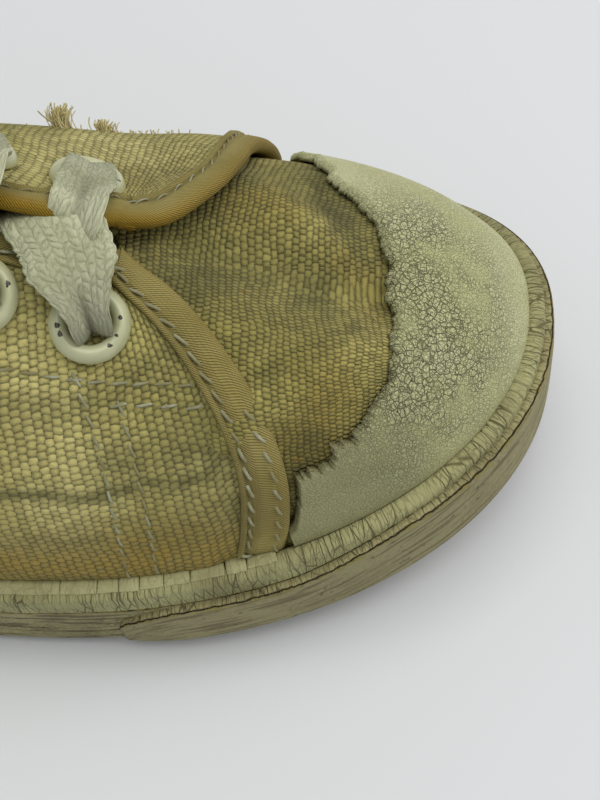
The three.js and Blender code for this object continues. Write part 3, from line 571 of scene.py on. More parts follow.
def canvas_finish(name, wide, high, base, pale, grime, relief):
    """Coarse plain-weave cotton duck: fat yarns show as rounded nubs, wide by high mm, in brick order."""
    canvas = Finish(name, roughness=0.95)
    canvas.shader.inputs["Sheen Weight"].default_value = 0.06
    canvas.shader.inputs["Sheen Roughness"].default_value = 0.6
    spot, run = canvas.place(), canvas.cloth()
    laid = run
    for scale, reach in ((0.1, 1.9), (1.1, 0.42)):
        laid = canvas.wandering(laid, scale, 2, (reach, reach, 0), seen_from=run)
    parts = canvas.node("ShaderNodeSeparateXYZ", {"Vector": laid})
    columns = canvas.maths("DIVIDE", parts.outputs["X"], wide)
    column = canvas.maths("FLOOR", columns)
    stagger = canvas.maths("MULTIPLY", canvas.maths("FLOORED_MODULO", column, 2.0), 0.5)
    rows = canvas.maths("ADD", canvas.maths("DIVIDE", parts.outputs["Y"], high), stagger)
    row = canvas.maths("FLOOR", rows)
    x = canvas.maths("ABSOLUTE", canvas.maths("SUBTRACT", canvas.maths("FRACT", columns), 0.5))
    y = canvas.maths("ABSOLUTE", canvas.maths("SUBTRACT", canvas.maths("FRACT", rows), 0.5))
    across = canvas.maths("POWER", canvas.maths("MULTIPLY", x, 1.86), 2.4)
    down = canvas.maths("POWER", canvas.maths("MULTIPLY", y, 1.9), 2.4)
    nub = canvas.maths("MAXIMUM", canvas.maths("SUBTRACT", 1.0, canvas.maths("ADD", across, down)), -0.25)
    which = canvas.node("ShaderNodeCombineXYZ", {"X": column, "Y": row}).outputs[0]
    chance = canvas.node("ShaderNodeTexWhiteNoise", {"Vector": which}, noise_dimensions="2D").outputs["Value"]
    fibre = canvas.cloud(canvas.stretched(laid, 1.3, 8), 1, detail=3, roughness=0.7)
    height = canvas.maths("ADD", canvas.maths("MULTIPLY", nub, canvas.scaled(chance, 0, 1, 0.75, 1.1)),
                          canvas.maths("MULTIPLY", fibre, 0.3))
    patch = canvas.cloud(spot, 48, detail=5, roughness=0.6)
    small = canvas.cloud(spot, 260, detail=3, roughness=0.6)
    # The painted darkening attribute holds dirt and also painted shade in folds, creases and under the flaps.
    darkened = canvas.painted("grime")
    warm = canvas.painted("rubbed")
    ground = canvas.mixed(canvas.scaled(patch, 0.35, 0.68), base, pale)
    ground = canvas.mixed(canvas.maths("MULTIPLY", warm, 0.85), ground, (0.35, 0.21, 0.015))
    yarn = canvas.mixed(canvas.scaled(chance, 0.0, 1.0, 0.0, 0.42), ground, [c * 0.62 for c in base])
    soiled_and_shaded = canvas.maths("MULTIPLY", darkened, canvas.scaled(small, 0.25, 0.7, 0.6, 1.0))
    dirty_and_shaded = canvas.mixed(soiled_and_shaded, yarn, grime)
    spots = canvas.scaled(canvas.cells(canvas.stretched(run, 0.11, 0.13), 1, "F1"), 0.03, 0.09, 0.45, 0.0)
    dotted = canvas.mixed(spots, dirty_and_shaded, (0.40, 0.19, 0.03))
    thready = canvas.mixed(canvas.scaled(fibre, 0.38, 0.52, 0.22, 0.0), dotted, [c * 0.4 for c in base])
    # Painted shade: the gaps and corners between the nubs are darkened.
    weave_gap_shade = canvas.scaled(nub, -0.25, 0.42, 1, 0)
    corner = canvas.scaled(nub, -0.25, 0.05, 1, 0)
    sunk = canvas.maths("ADD", canvas.maths("MULTIPLY", weave_gap_shade, 0.34), canvas.maths("MULTIPLY", corner, 0.3))
    colour = canvas.mixed(sunk, thready, [c * 0.42 for c in grime])
    normal = canvas.relief(small, 0.0003)
    normal = canvas.relief(height, relief, normal)
    return canvas.done(colour, normal)


vamp_canvas = canvas_finish("vamp_canvas", 0.78, 0.67, (0.34, 0.295, 0.08), (0.60, 0.515, 0.16),
                            (0.085, 0.082, 0.024), 0.00036)


def foot_forward(side, at):
    """Direction towards the toe along the sole's outline."""
    _, _, nx, ny = sole_edge(side, at, 0)
    return np.stack([side * ny, -side * nx, 0 * nx], -1)


def cloth_wall(name, side, at, up, outer, inner, material, node_names=(), paint=None):
    """A closed sheet from grids of where it lies on the foot form and its outer and inner height."""
    outside = off_last(side, at, up, outer)
    inside = off_last(side, at, up, inner)
    start = np.stack([-at[:, 0] * outlines[side][2], 0 * at[:, 0]], -1)
    mapped = cloth_map(outside, foot_forward(side, at), start, side)
    grid = np.concatenate([outside, inside[:, ::-1], outside[:, :1]], 1)
    weave = np.concatenate([mapped, mapped[:, ::-1], mapped[:, :1]], 1)
    paints = {}
    for key in ("grime", "rubbed"):
        shade = paint(outside, key) if paint else np.zeros(outside.shape[:2])
        paints[key] = np.concatenate([shade, shade[:, ::-1], shade[:, :1]], 1)
    return tube(name, grid, weave, material, node_names, paints=paints)


def stains_and_shade(points, table):
    """Soft stains and painted shade, 0 to 1: each is a place or a line on the shoe, a half width, a strength.
    """
    clear = np.ones(points.shape[:-1])
    for line, width, strength in table:
        clear *= 1 - strength * np.exp(-((near_line(points, line) / width) ** 2))
    return 1 - clear


# Darkening painted on the vamp: mostly painted shade in the fold valleys, along the creases and under the far
# flap, and some dirt.
vamp_shade_and_dirt = [
    ([(54.7, -2.7, 43.1), (58.4, -2.4, 42), (62.8, -3.5, 40.8), (66, -4.2, 39.5)], 4.6, 0.8),
    ([(66, -4.2, 39.5), (70, -4.8, 38), (73, -5.6, 37)], 2.6, 0.45),
    ([(67.2, 8.4, 38), (69.1, 4.3, 38.2), (71.4, 0.2, 37.7)], 3.0, 0.7),
    ([(66, 16, 35), (67.2, 8.4, 38)], 4.0, 0.75),
    ([(57.6, -16.9, 38.3), (62.9, -14.5, 38), (70, -10, 37)], 1.3, 0.6),
    ([(63, -22.5, 29), (64.5, -20.4, 32)], 2.5, 0.7),
    ([(65, 12.5, 37.1), (66.3, 7.1, 38.6), (67.7, 2.8, 38.9)], 0.7, 0.6),
    ([(50, 2, 45), (56, 10, 42)], 3.0, 0.55),
    ([(47, -3, 46), (52, -8, 44)], 2.2, 0.85),
]
vamp_rubbed = [([(69.1, -1.2, 38.6), (70.8, -2.8, 37.9), (72.5, -5, 37)], 2.4, 0.75),
               ([(66, -16, 35), (64, -20, 32)], 4.0, 0.65), ([(56, 6, 42), (62.3, 5.3, 40.3)], 3.0, 0.35)]


def vamp_paint(points, key):
    return stains_and_shade(points, vamp_shade_and_dirt if key == "grime" else vamp_rubbed)


def full_wall():
    """Both sides of the wall as one ring: toe centre, outer side, heel, inner side and back to the toe."""
    side, at = round_the_sole(150)
    up = np.linspace(-0.06, 1, 64)
    outside, inside = np.empty((len(at), 64, 3)), np.empty((len(at), 64, 3))
    for s in (-1, 1):
        rows = side == s
        a = np.repeat(at[rows][:, None], 64, 1)
        u = np.repeat(up[None], rows.sum(), 0)
        bare = lasted(s, a, u)
        hidden = 1 / (1 + np.exp((bare[..., 0] - 30) / 4))
        outside[rows] = off_last(s, a, u, folds(bare, vamp_folds) * (1 - hidden))
        inside[rows] = off_last(s, a, u, folds(bare, vamp_folds) * (1 - hidden) - vamp_wall)
    return outside, inside


wall_outside, wall_inside = full_wall()
wall_grid = np.concatenate([wall_outside, wall_inside[:, ::-1], wall_outside[:, :1]], 1)
wall_flat = cloth_map(wall_outside, np.array([1.0, 0, 0]), wall_outside[:, -1, :2], -1, from_last=True)
wall_map = np.concatenate([wall_flat, wall_flat[:, ::-1], wall_flat[:, :1]], 1)
wall_paints = {}
for wall_key in ("grime", "rubbed"):
    wall_shade = vamp_paint(wall_outside, wall_key)
    wall_paints[wall_key] = np.concatenate([wall_shade, wall_shade[:, ::-1] * 0, wall_shade[:, :1]], 1)
tube("upper_wall", wall_grid, wall_map, vamp_canvas, ["upper"], wrap_rows=True,
     paints=wall_paints)

# Quarters: the two outer flaps of heavier canvas that carry the eyelets. Each is cut in a curve at the
# front, laid over the vamp, and stands a little off it there; they meet in a plain seam at the heel.
edge_rows = {
    -1: ([0.0, 0.2, 0.45, 0.65, 0.8, 0.9, 1.0], [0.224, 0.208, 0.18, 0.146, 0.115, 0.1, 0.11]),
    1: ([0.0, 0.2, 0.45, 0.6, 0.7, 0.8, 0.88, 0.95, 1.0],
        [0.224, 0.212, 0.188, 0.152, 0.114, 0.074, 0.045, 0.02, 0.03]),
}
quarter_thick = 1.1
lap_at = [0.1, 0.2, 0.243, 0.271, 0.307, 0.342, 0.42, 0.5]
lap_reach = [0, 0.025, 0.052, 0.078, 0.108, 0.125, 0.08, 0]


def ease(value, low, high):
    share = np.clip((np.asarray(value, float) - low) / (high - low), 0, 1)
    return share * share * (3 - 2 * share)


def front_edge(side, up):
    keys, values = edge_rows[side]
    return smooth(keys, values, np.clip(up, 0, 1), odd=True)


def throat_up(side, at):
    """How far up the foot form a flap reaches: the inner one laps past the throat behind its corner."""
    return 1 + smooth(lap_at, lap_reach, at) * (side > 0)


def stand_off(side, at, up):
    """How far a flap stands off the vamp near its cut edge, most on the inner flap by the throat."""
    edge = lasted(side, front_edge(side, up) + 0 * at, up)
    from_edge = np.linalg.norm(lasted(side, at, up) - edge, axis=-1)
    most = 0.35 if side < 0 else 0.5 + 2.1 * np.clip((up - 0.45) / 0.4, 0, 1)
    return 0.2 + most * np.exp(-((from_edge / 7.0) ** 2))


quarter_crease = [(20, -27, 34), (30.7, -26.8, 33.2), (34.9, -26.8, 32.9), (39, -26.9, 32),
                  (42.4, -26.6, 32.1), (46.8, -25.7, 33), (50.8, -25.5, 32.5), (52.9, -25, 32.8),
                  (55, -24.4, 33.3)]
quarter_folds = {
    -1: [(quarter_crease, 0.75, -0.5), ([(10, -31, 18), (50, -28, 18.5)], 3.2, 0.7),
         ([(30, -27.5, 27), (50, -26.5, 25.5)], 6.0, 0.35),
         ([(49, -21, 36), (55, -22, 33)], 3.0, -0.4), ([(36, -24.5, 37), (46, -23, 37.5)], 3.0, 0.3)],
    1: [([(20, 19, 45), (31, 20, 39), (39, 21.5, 36), (46, 21, 35)], 9.0, 1.5),
        ([(20, 27, 33), (50, 25, 33)], 2.0, -0.3), ([(30, 8, 50), (40, 9, 46), (50, 9, 43)], 3.5, -0.5)],
}
# Darkening painted on the quarters: painted shade along the crease, in the fold valleys and along the joint
# with the foxing, and dirt.
quarter_shade_and_dirt = {
    -1: [(quarter_crease, 0.9, 0.85), ([(52, -18, 38), (57, -22, 32), (58, -25, 26)], 3.5, 0.6),
         ([(47, -17, 41), (52, -14, 42)], 2.5, 0.5), ([(33, -21, 41), (44, -19, 40.5)], 2.2, 0.4),
         ([(44, -24, 35), (54, -22, 35)], 3.0, 0.55), ([(30, -30, 17), (58, -27, 19)], 1.2, 0.6),
         ([(48, -26, 27), (57, -25, 28)], 4.0, 0.45), ([(22, -31, 26), (40, -29.5, 25.5)], 2.2, 0.35)],
    1: [([(20, 27, 33), (50, 25, 33)], 3.0, 0.4), ([(20, 17, 47), (48, 17, 40)], 16.0, 0.22),
        ([(30, 30, 17), (58, 27, 19)], 2.5, 0.5),
        ([(38, 9, 46), (50, 8, 43)], 3.0, 0.35), ([(20, 17, 47), (33, 20, 41)], 2.2, 0.35)],
}
quarter_rubbed = {-1: [([(25, -30, 20), (36, -29.5, 20), (52, -27, 20)], 7.0, 0.95),
                       ([(44, -29, 24), (50, -27.5, 24)], 4.0, 0.6),
                       ([(25, -24, 40), (34, -22, 39)], 5.0, 0.15)],
                  1: [([(40, 6, 46), (52, 6, 43)], 4.0, 0.35)]}
quarter_canvas = canvas_finish("quarter_canvas", 1.1, 0.88, (0.54, 0.47, 0.145), (0.80, 0.71, 0.28),
                               (0.11, 0.1, 0.028), 0.00042)
quarter_rows = np.r_[np.linspace(0, 0.3, 120)[:-1], np.linspace(0.3, 1, 110)]
for quarter_side, quarter_name in ((-1, "quarter_outer"), (1, "quarter_inner")):
    quarter_share = np.repeat(np.linspace(-0.03, 1, 88)[None], len(quarter_rows), 0)
    quarter_front = front_edge(quarter_side, quarter_share) + 0.002
    quarter_at = quarter_front + (1 - quarter_front) * quarter_rows[:, None]
    quarter_up = quarter_share * throat_up(quarter_side, quarter_at)
    quarter_bare = lasted(quarter_side, quarter_at, quarter_up)
    quarter_base = (stand_off(quarter_side, quarter_at, quarter_up)
                    + folds(quarter_bare, quarter_folds[quarter_side]))

    def quarter_paint(points, key, side=quarter_side):
        return stains_and_shade(points, (quarter_shade_and_dirt if key == "grime" else quarter_rubbed)[side])

    cloth_wall(quarter_name, quarter_side, quarter_at, quarter_up, quarter_base + quarter_thick, quarter_base,
               quarter_canvas, paint=quarter_paint)

# Binding: a narrow cotton twill tape folded over every cut edge of the quarters and stitched through: down
# the curved front edge, along the throat and round the collar.
binding_thick = 0.42
edge_blend = 23


def binding_width(side, run):
    """The tape shows wider towards the foot of the front edge."""
    return 3.3 + (1.9 if side < 0 else 0.6) * np.exp(-((run / 24) ** 2))


def flap_edge(side, count):
    """The flap's whole cut edge as places on the foot form: up the front, back along throat and collar."""
    rising = np.linspace(-0.02, 0.97, 60)
    back = np.linspace(float(front_edge(side, 0.97)) + 0.012, 1, 200)
    up = np.r_[rising, throat_up(side, back)]
    at = np.r_[front_edge(side, rising), back]
    line = lasted(side, at, up)
    steps = np.r_[0, np.cumsum(np.linalg.norm(np.diff(line, axis=0), axis=1))]
    wanted = np.linspace(0, steps[-1], count)
    return np.interp(wanted, steps, at), np.interp(wanted, steps, up), wanted


def cut_edge(side):
    """The cut edge's places on the foot form, its run and line, and the way from it into the cloth."""
    at, up, run = flap_edge(side, 640)
    line = lasted(side, at, up)
    way = np.gradient(line, axis=0)
    kernel = np.hanning(edge_blend) / np.hanning(edge_blend).sum()
    for axis in range(3):
        padded = np.pad(way[:, axis], edge_blend // 2, mode="edge")
        way[:, axis] = np.convolve(padded, kernel, mode="valid")
    inwards = np.cross(outward(side, at, up), way) * -side
    return at, up, run, line, inwards / np.linalg.norm(inwards, axis=1, keepdims=True)


def settle(side, at, up, target, rounds=8):
    """The place on the foot form nearest to each target point, from a place close by."""
    for _ in range(rounds):
        here = lasted(side, at, up)
        along = (lasted(side, at + 0.002, up) - lasted(side, at - 0.002, up)) / 0.004
        rising = (lasted(side, at, up + 0.002) - lasted(side, at, up - 0.002)) / 0.004
        miss = target - here
        a, b, c = (along**2).sum(-1) + 1.0, (along * rising).sum(-1), (rising**2).sum(-1) + 1.0
        p, q = (along * miss).sum(-1), (rising * miss).sum(-1)
        size = a * c - b * b
        at = np.clip(at + np.clip((c * p - b * q) / size, -0.03, 0.03), 0.0, 1.0)
        up = np.clip(up + np.clip((a * q - b * p) / size, -0.1, 0.1), -0.06, 1.2)
    return at, up


def flap_height(side, at, up):
    bare = lasted(side, at, up)
    return stand_off(side, at, up) + folds(bare, quarter_folds[side])


twill = Finish("binding_twill", roughness=0.9)
twill_run = twill.cloth()
twill_parts = twill.node("ShaderNodeSeparateXYZ", {"Vector": twill_run})
twill_lean = twill.maths("ADD", twill.maths("MULTIPLY", twill_parts.outputs["X"], 2.9),
                         twill.maths("MULTIPLY", twill_parts.outputs["Y"], 3.3))
twill_rib = twill.maths("ABSOLUTE", twill.maths("SUBTRACT", twill.maths("FRACT", twill_lean), 0.5))
twill_cross = twill.maths("SINE", twill.maths("MULTIPLY", twill_parts.outputs["Y"], 17.0))
twill_weave = twill.maths("MULTIPLY", twill.scaled(twill_rib, 0.0, 0.4, 0, 1),
                          twill.scaled(twill_cross, -1, 1, 0.7, 1))
twill_patch = twill.cloud(twill.place(), 110, detail=5, roughness=0.65)
twill_ground = twill.mixed(twill.scaled(twill_patch, 0.36, 0.66), (0.36, 0.30, 0.095), (0.47, 0.40, 0.145))
twill_warm = twill.mixed(twill.painted("rubbed"), twill_ground, (0.37, 0.22, 0.012))
# Darkening from the painted attribute: dirt and painted shade.
twill_soiled_and_shaded = twill.mixed(twill.painted("grime"), twill_warm, (0.15, 0.125, 0.05))
twill_colour = twill.mixed(twill.scaled(twill_weave, 0.0, 0.45, 0.5, 0.0), twill_soiled_and_shaded, (0.12, 0.095, 0.035))
twill_normal = twill.relief(twill_weave, 0.00016, twill.relief(twill_patch, 0.0005))
binding_twill = twill.done(twill_colour, twill_normal)

for binding_side, binding_name in ((-1, "binding_outer"), (1, "binding_inner")):
    edge_along, edge_rise, edge_run, edge_line, edge_in = cut_edge(binding_side)
    wide = binding_width(binding_side, edge_run)
    still = 0 * wide
    over, under, half_way = quarter_thick + binding_thick, -binding_thick, quarter_thick / 2
    section = [(wide + 0.05, over - 0.45, 0), (wide - 0.05, over + 0.16, 0), (wide - 0.32, over + 0.4, 0),
               (wide - 0.62, over + 0.16, 0), (wide - 0.85, over - 0.14, 0), (wide - 1.15, over - 0.06, 0),
               (wide - 1.6, over + 0.04, 0), (wide - 2.1, over + 0.06, 0), (still + 0.9, over + 0.04, 0.1),
               (still + 0.5, over, 0.3), (still + 0.15, over - 0.04, 0.6), (still - 0.25, over - 0.28, 0.9),
               (still - 0.48, half_way + 0.35, 1), (still - 0.48, half_way - 0.35, 1),
               (still - 0.25, under + 0.3, 1), (still + 0.15, under, 1), (still + 0.9, under, 1),
               (wide - 1.2, under, 1), (wide - 0.3, under, 1), (wide - 0.3, 0.0, 1), (wide - 1.2, 0.0, 1),
               (still + 0.5, 0.0, 1), (still + 0.12, 0.12, 1), (still + 0.12, quarter_thick - 0.12, 1),
               (still + 0.5, quarter_thick, 0), (wide - 1.2, quarter_thick, 0),
               (wide - 0.3, quarter_thick, 0)]
    loop_points = []
    for reach_in, rise, _ in section:
        target = edge_line + edge_in * np.maximum(reach_in, 0)[:, None]
        a, u = settle(binding_side, edge_along, edge_rise, target)
        height = flap_height(binding_side, a, u)
        spot = lasted(binding_side, a, u)
        out = outward(binding_side, a, u)
        loop_points.append(spot + out * (height + rise)[:, None] + edge_in * np.minimum(reach_in, 0)[:, None])
    loop_points.append(loop_points[0])
    binding_grid = np.stack(loop_points, 1)
    inwards = np.array([reach for reach, _, _ in section]).mean(1)
    rises = np.array([rise for _, rise, _ in section])
    across = np.cumsum(np.r_[0, np.hypot(np.diff(inwards), np.diff(rises)), 0])
    binding_map = np.stack([np.repeat(edge_run[:, None], len(across), 1),
                            np.repeat(across[None], len(edge_run), 0)], -1)
    soiled_and_shaded = stains_and_shade(binding_grid, quarter_shade_and_dirt[binding_side]) * 0.6
    rim = np.array([share for _, _, share in section] + [0])
    fade = 1 - 0.7 * ease(binding_grid[..., 0], 46, 60)
    rubbed = 0.12 + (0.15 if binding_side < 0 else 0.85) * rim[None] * fade
    # Painted shade: the tape is darkened in the dip beside its rolled cord and where its inner edge meets the
    # canvas.
    soiled_and_shaded = np.maximum(soiled_and_shaded, 0.45 * np.isin(np.arange(len(rim)), (0, 4, 5))[None])
    tube(binding_name, binding_grid, binding_map, binding_twill,
         paints={"grime": soiled_and_shaded, "rubbed": rubbed})

# Foxing strip: a thin pale rubber ribbon laid over the joint of canvas and foxing behind the toe cap. It has
# broken into chunks along the outer side, and some have chipped off at the corners.
strip_front = float(front_edge(-1, 0)) + 0.004
strip_rubber = rubber_finish("strip_rubber", (0.50, 0.485, 0.24), (0.3, 0.27, 0.14), (0.25, 0.22, 0.1),
                             20.0, 0.0003, 0.3)


def strip_chunks():
    """Where each flake starts and ends: broken short in view, and long sound lengths elsewhere."""
    broken = [0.2775, 0.2925, 0.3065, 0.3185, 0.331, 0.353]
    pieces = [(-1, strip_front, 0.2445, 0.5), (-1, 0.2452, 0.2565, 0.95), (-1, 0.2576, 0.2767, 0.55)]
    pieces += [(-1, start, end - 0.0006, 0.85 + 0.12 * (number % 3))
               for number, (start, end) in enumerate(zip(broken[:-1], broken[1:]))]
    return pieces + [(-1, broken[-1], 1.0, 0.7), (1, strip_front, 1.0, 0.7)]


def strip_chunk(side, start, end, full, chance):
    """A wedge of rubber: thin against the canvas at the top, lapping down over the foxing's shoulder."""
    count = max(int((end - start) / 0.0011), 8)
    at = np.linspace(start, end, count)
    x, y, nx, ny = sole_edge(side, at, 0)
    z = foxing_top(x)
    ends = ease(np.minimum(np.arange(count), np.arange(count)[::-1]), -0.6, 1.6)
    knots = np.arange(0, count + 3, 3)
    wander = np.interp(np.arange(count), knots, chance.normal(0, 0.1, len(knots)))
    tall = (full + wander * 0.8) * (0.45 + 0.15 * ends)
    skirt = -0.75 - 0.3 * (1 - full) + 0.5 * wander
    thick = 0.42 * (0.5 + 0.5 * ends)
    level = 0 * z
    out = np.stack([level - 2.9, skirt - 0.25, skirt, skirt - 0.12, level - 1.4, level - 1.75,
                    level - 3.0], 1)
    up = np.stack([level - 0.3, level - 0.4, level, thick * 0.6, tall - 0.12, tall, tall * 0.8], 1)
    ring = np.stack([x[:, None] + nx[:, None] * out, y[:, None] + ny[:, None] * out, z[:, None] + up], -1)
    ring = np.concatenate([ring, ring[:, :1]], 1)
    run = np.r_[0, np.cumsum(np.hypot(np.diff(x), np.diff(y)))] + 300 * start
    down = np.repeat(np.array([3.0, 2.4, 2.2, 2, 1, 0, 0.5, 3.4])[None], count, 0)
    return ring, np.stack([np.repeat(run[:, None], 8, 1), down], -1)


chip_chance = np.random.default_rng(11)
for chunk_number, (chunk_side, chunk_start, chunk_end, chunk_full) in enumerate(strip_chunks()):
    chunk_grid, chunk_map = strip_chunk(chunk_side, chunk_start, chunk_end, chunk_full, chip_chance)
    chunk = tube(f"foxing_strip_{chunk_number + 1}", chunk_grid, chunk_map, strip_rubber)
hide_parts("foxing_strip")

# Toe cap: a thin moulded rubber cap glued over the toe. Its skin has crazed into small plates, worst in the
# middle, and its rear edge has torn back unevenly and curls up in small flakes.
cap_end, cap_foot, cap_gap, cap_wall, cap_flare = 0.217, -0.025, 0.3, 1.1, 0.95
cap_share = [0.0, 0.3, 0.45, 0.6, 0.77, 0.9, 1.0]
cap_outer = [0.55, 0.48, 0.41, 0.35, 0.29, 0.23, 0.06]
cap_inner = [0.55, 0.57, 0.52, 0.46, 0.36, 0.26, 0.06]


def ragged(where, seed, size):
    """Uneven steps and curls along an edge: a sum of waves and of sharp notches, from a fixed seed."""
    chance = np.random.default_rng(seed)
    total = np.zeros_like(where)
    for waves, tall in ((9, 0.45), (17, 0.35), (41, 0.22), (83, 0.14), (167, 0.09)):
        phase = chance.uniform(0, 6.28)
        total += tall * np.sin(where * waves + phase + 1.3 * np.sin(where * waves * 0.37 + phase))
    steps = np.round(total * 3) / 3
    return size * (0.6 * total + 0.4 * steps)


cap = Finish("cap_rubber", roughness=0.58)
cap_spot, cap_run = cap.place(), cap.cloth()
cap_bent = cap.wandering(cap_spot, 500, 3, (0.0009,) * 3)
cap_crazed = cap.painted("crazed")
cap_patch = cap.cloud(cap_spot, 130, detail=4)
cap_where = cap.maths("MULTIPLY", cap_crazed, cap.scaled(cap_patch, 0.3, 0.6, 0.45, 1))
cap_wide = cap.maths("MULTIPLY", cap.scaled(cap.cells(cap_bent, 1050), 0.0, 0.06, 1, 0),
                     cap.scaled(cap_where, 0.3, 0.75))
cap_thin = cap.maths("MULTIPLY", cap.scaled(cap.cells(cap_bent, 1900), 0.0, 0.07, 1, 0),
                     cap.scaled(cap_where, 0.1, 0.7, 0.0, 0.75))
cap_finest = cap.cells(cap.stretched(cap_bent, 1.0, 1.7, 1.0), 2700)
cap_hair = cap.maths("MULTIPLY", cap.scaled(cap_finest, 0.0, 0.08, 1, 0), 0.3)
cap_cracks = cap.maths("MAXIMUM", cap.maths("MAXIMUM", cap_wide, cap_thin), cap_hair)
cap_pits = cap.maths("MULTIPLY", cap.scaled(cap.cells(cap_bent, 1500, "F1"), 0.1, 0.22, 1, 0),
                     cap.scaled(cap.maths("MULTIPLY", cap_where, cap.cloud(cap_spot, 320)), 0.42, 0.5))
cap_tint = cap.mixed(cap.scaled(cap_patch, 0.35, 0.7), (0.54, 0.54, 0.27), (0.63, 0.63, 0.36))
cap_aged = cap.mixed(cap.maths("MULTIPLY", cap_crazed, 0.15), cap_tint, (0.40, 0.37, 0.17))
# Painted shade from the cap's darkening attribute.
cap_shaded = cap.mixed(cap.painted("grime"), cap_aged, (0.21, 0.195, 0.09))
cap_cracked = cap.mixed(cap.maths("MULTIPLY", cap_cracks, 0.85), cap_shaded, (0.075, 0.06, 0.022))
cap_pitted = cap.mixed(cap.maths("MULTIPLY", cap_pits, 0.9), cap_cracked, (0.03, 0.022, 0.01))
cap_height = cap.node("ShaderNodeSeparateXYZ", {"Vector": cap_run}).outputs["Y"]
# Painted shade: a dark line where the cap's foot meets the foxing.
cap_colour = cap.mixed(cap.scaled(cap_height, 0.1, 0.4, 0.85, 0), cap_pitted, (0.06, 0.045, 0.018))
cap_fine = cap.cloud(cap_spot, 1600, detail=3, roughness=0.6)
cap_normal = cap.relief(cap_fine, 0.0001)
cap_sunk = cap.maths("MULTIPLY", cap.maths("MAXIMUM", cap_cracks, cap_pits), -1)
cap_normal = cap.relief(cap_sunk, 0.0002, cap_normal)
cap_rubber = cap.done(cap_colour, cap_normal)


def toe_cap_grids():
    across = np.linspace(1, -1, 801)
    share = np.abs(across)
    limit = np.where(across > 0, smooth(cap_share, cap_outer, share), smooth(cap_share, cap_inner, share))
    chewed = 1 + 1.4 * ease(across, 0.6, 0.75)
    rough_edge = ragged(across * 3.2, 5, 0.011) * chewed * np.clip((1 - share) * 12, 0.25, 1)
    limit = limit + rough_edge
    rows = 1 - (1 - np.linspace(0, 1, 60)) ** 1.25
    up = cap_foot + (limit[:, None] - cap_foot) * rows[None]
    at = np.repeat((cap_end * share)[:, None], len(rows), 1)
    curl = np.clip(ragged(across * 4.1 + 2, 8, 1.0), 0, 1.4)
    from_edge = (1 - rows)[None] * (limit[:, None] - cap_foot) * 60
    raised = 0.28 * curl[:, None] * np.exp(-((from_edge / 1.1) ** 2))
    thin = 1 - 0.55 * np.exp(-((from_edge / 0.5) ** 2))
    outside, inside = np.empty(at.shape + (3,)), np.empty(at.shape + (3,))
    for side, keep in ((-1, across > 0), (1, across <= 0)):
        a, u = at[keep], up[keep]
        wave = folds(lasted(side, a, u), vamp_folds) * 0.6
        flare = cap_flare * (1 - ease(u, 0.0, 0.16))
        outside[keep] = off_last(side, a, u, cap_gap + wave + raised[keep] + cap_wall * thin[keep] + flare)
        inside[keep] = off_last(side, a, u, cap_gap + wave + raised[keep] * 0.9 + flare * 0.7)
    return outside, inside, from_edge, rows


cap_outside, cap_inside, cap_from_edge, cap_rows = toe_cap_grids()
cap_grid = np.concatenate([cap_outside, cap_inside[:, ::-1], cap_outside[:, :1]], 1)
cap_side = np.cumsum(np.r_[0, np.linalg.norm(np.diff(cap_outside[:, 0], axis=0), axis=1)])
cap_flat = np.stack([np.repeat(cap_side[:, None], cap_outside.shape[1], 1),
                     cap_outside[..., 2] - foxing_top(cap_outside[..., 0])], -1)
cap_hidden = cap_flat + np.array([0, 5.0])
cap_map = np.concatenate([cap_flat, cap_hidden[:, ::-1], cap_flat[:, :1]], 1)
cap_centre = np.linalg.norm((cap_outside - np.array([77, -8, 34])) / np.array([9, 15, 12]), axis=-1)
cap_craze = np.clip(1.25 - 0.62 * cap_centre, 0.06, 1)
# Painted shade on the cap: darker over its near side, along its torn rear edge and in a line at its foot
# against the foxing.
cap_painted_shade = (0.6 * np.clip((-15 - cap_outside[..., 1]) / 7, 0, 1)
            * np.clip((86 - cap_outside[..., 0]) / 12, 0, 1))
cap_painted_shade = (cap_painted_shade + 0.4 * np.exp(-((cap_from_edge / 0.6) ** 2))
            + 0.25 * np.exp(-((cap_rows[None] / 0.03) ** 2)))
cap_paints = {key: np.concatenate([shade, shade[:, ::-1], shade[:, :1]], 1)
              for key, shade in (("crazed", cap_craze), ("grime", cap_painted_shade + 0 * cap_craze))}
tube("toe_cap_skin", cap_grid, cap_map, cap_rubber, ["toe_cap"], paints=cap_paints)

# Insole: a soft board-and-cloth sheet lying on the outsole, dished a little by the foot and grey with wear.
lining_cloth = canvas_finish("lining_cloth", 0.7, 0.6, (0.24, 0.215, 0.12), (0.30, 0.275, 0.165),
                             (0.09, 0.08, 0.045), 0.00012)
insole_at = np.linspace(0, 1, 141)
insole_inset = -(vamp_inset + vamp_wall + 0.6)
insole_left = np.stack(sole_edge(-1, insole_at, insole_inset)[:2], -1)
insole_right = np.stack(sole_edge(1, insole_at, insole_inset)[:2], -1)
insole_across = np.linspace(0, 1, 33)
insole_xy = insole_left[:, None] + (insole_right - insole_left)[:, None] * insole_across[None, :, None]
insole_low = 5.3 + toe_lift(insole_xy[..., 0])
insole_dish = 0.5 * np.sin(np.pi * insole_across)[None] * (0.4 + 0.6 * np.cos(insole_xy[..., 0] / 40) ** 2)
insole_top = np.concatenate([insole_xy, (insole_low + 3.0 - insole_dish)[..., None]], -1)
insole_under = np.concatenate([insole_xy, insole_low[..., None]], -1)
insole_grid = np.concatenate([insole_top, insole_under[:, ::-1], insole_top[:, :1]], 1)
insole_paint = {"rubbed": np.zeros(insole_grid.shape[:2])}
insole_paint["grime"] = np.repeat((0.25 + 0.4 * np.exp(-(((insole_grid[:, 0, 0] + 60) / 22) ** 2)))[:, None],
                                  insole_grid.shape[1], 1)
tube("insole_sheet", insole_grid, insole_grid[..., :2], lining_cloth, ["insole"],
     paints=insole_paint)

# Tongue: two layers of canvas over thin padding, sewn in under the throat and standing out above it.
tongue_front, tongue_rear, tongue_cover, tongue_thick, tongue_past = 0.315, 0.575, 0.28, 2.0, 17.0


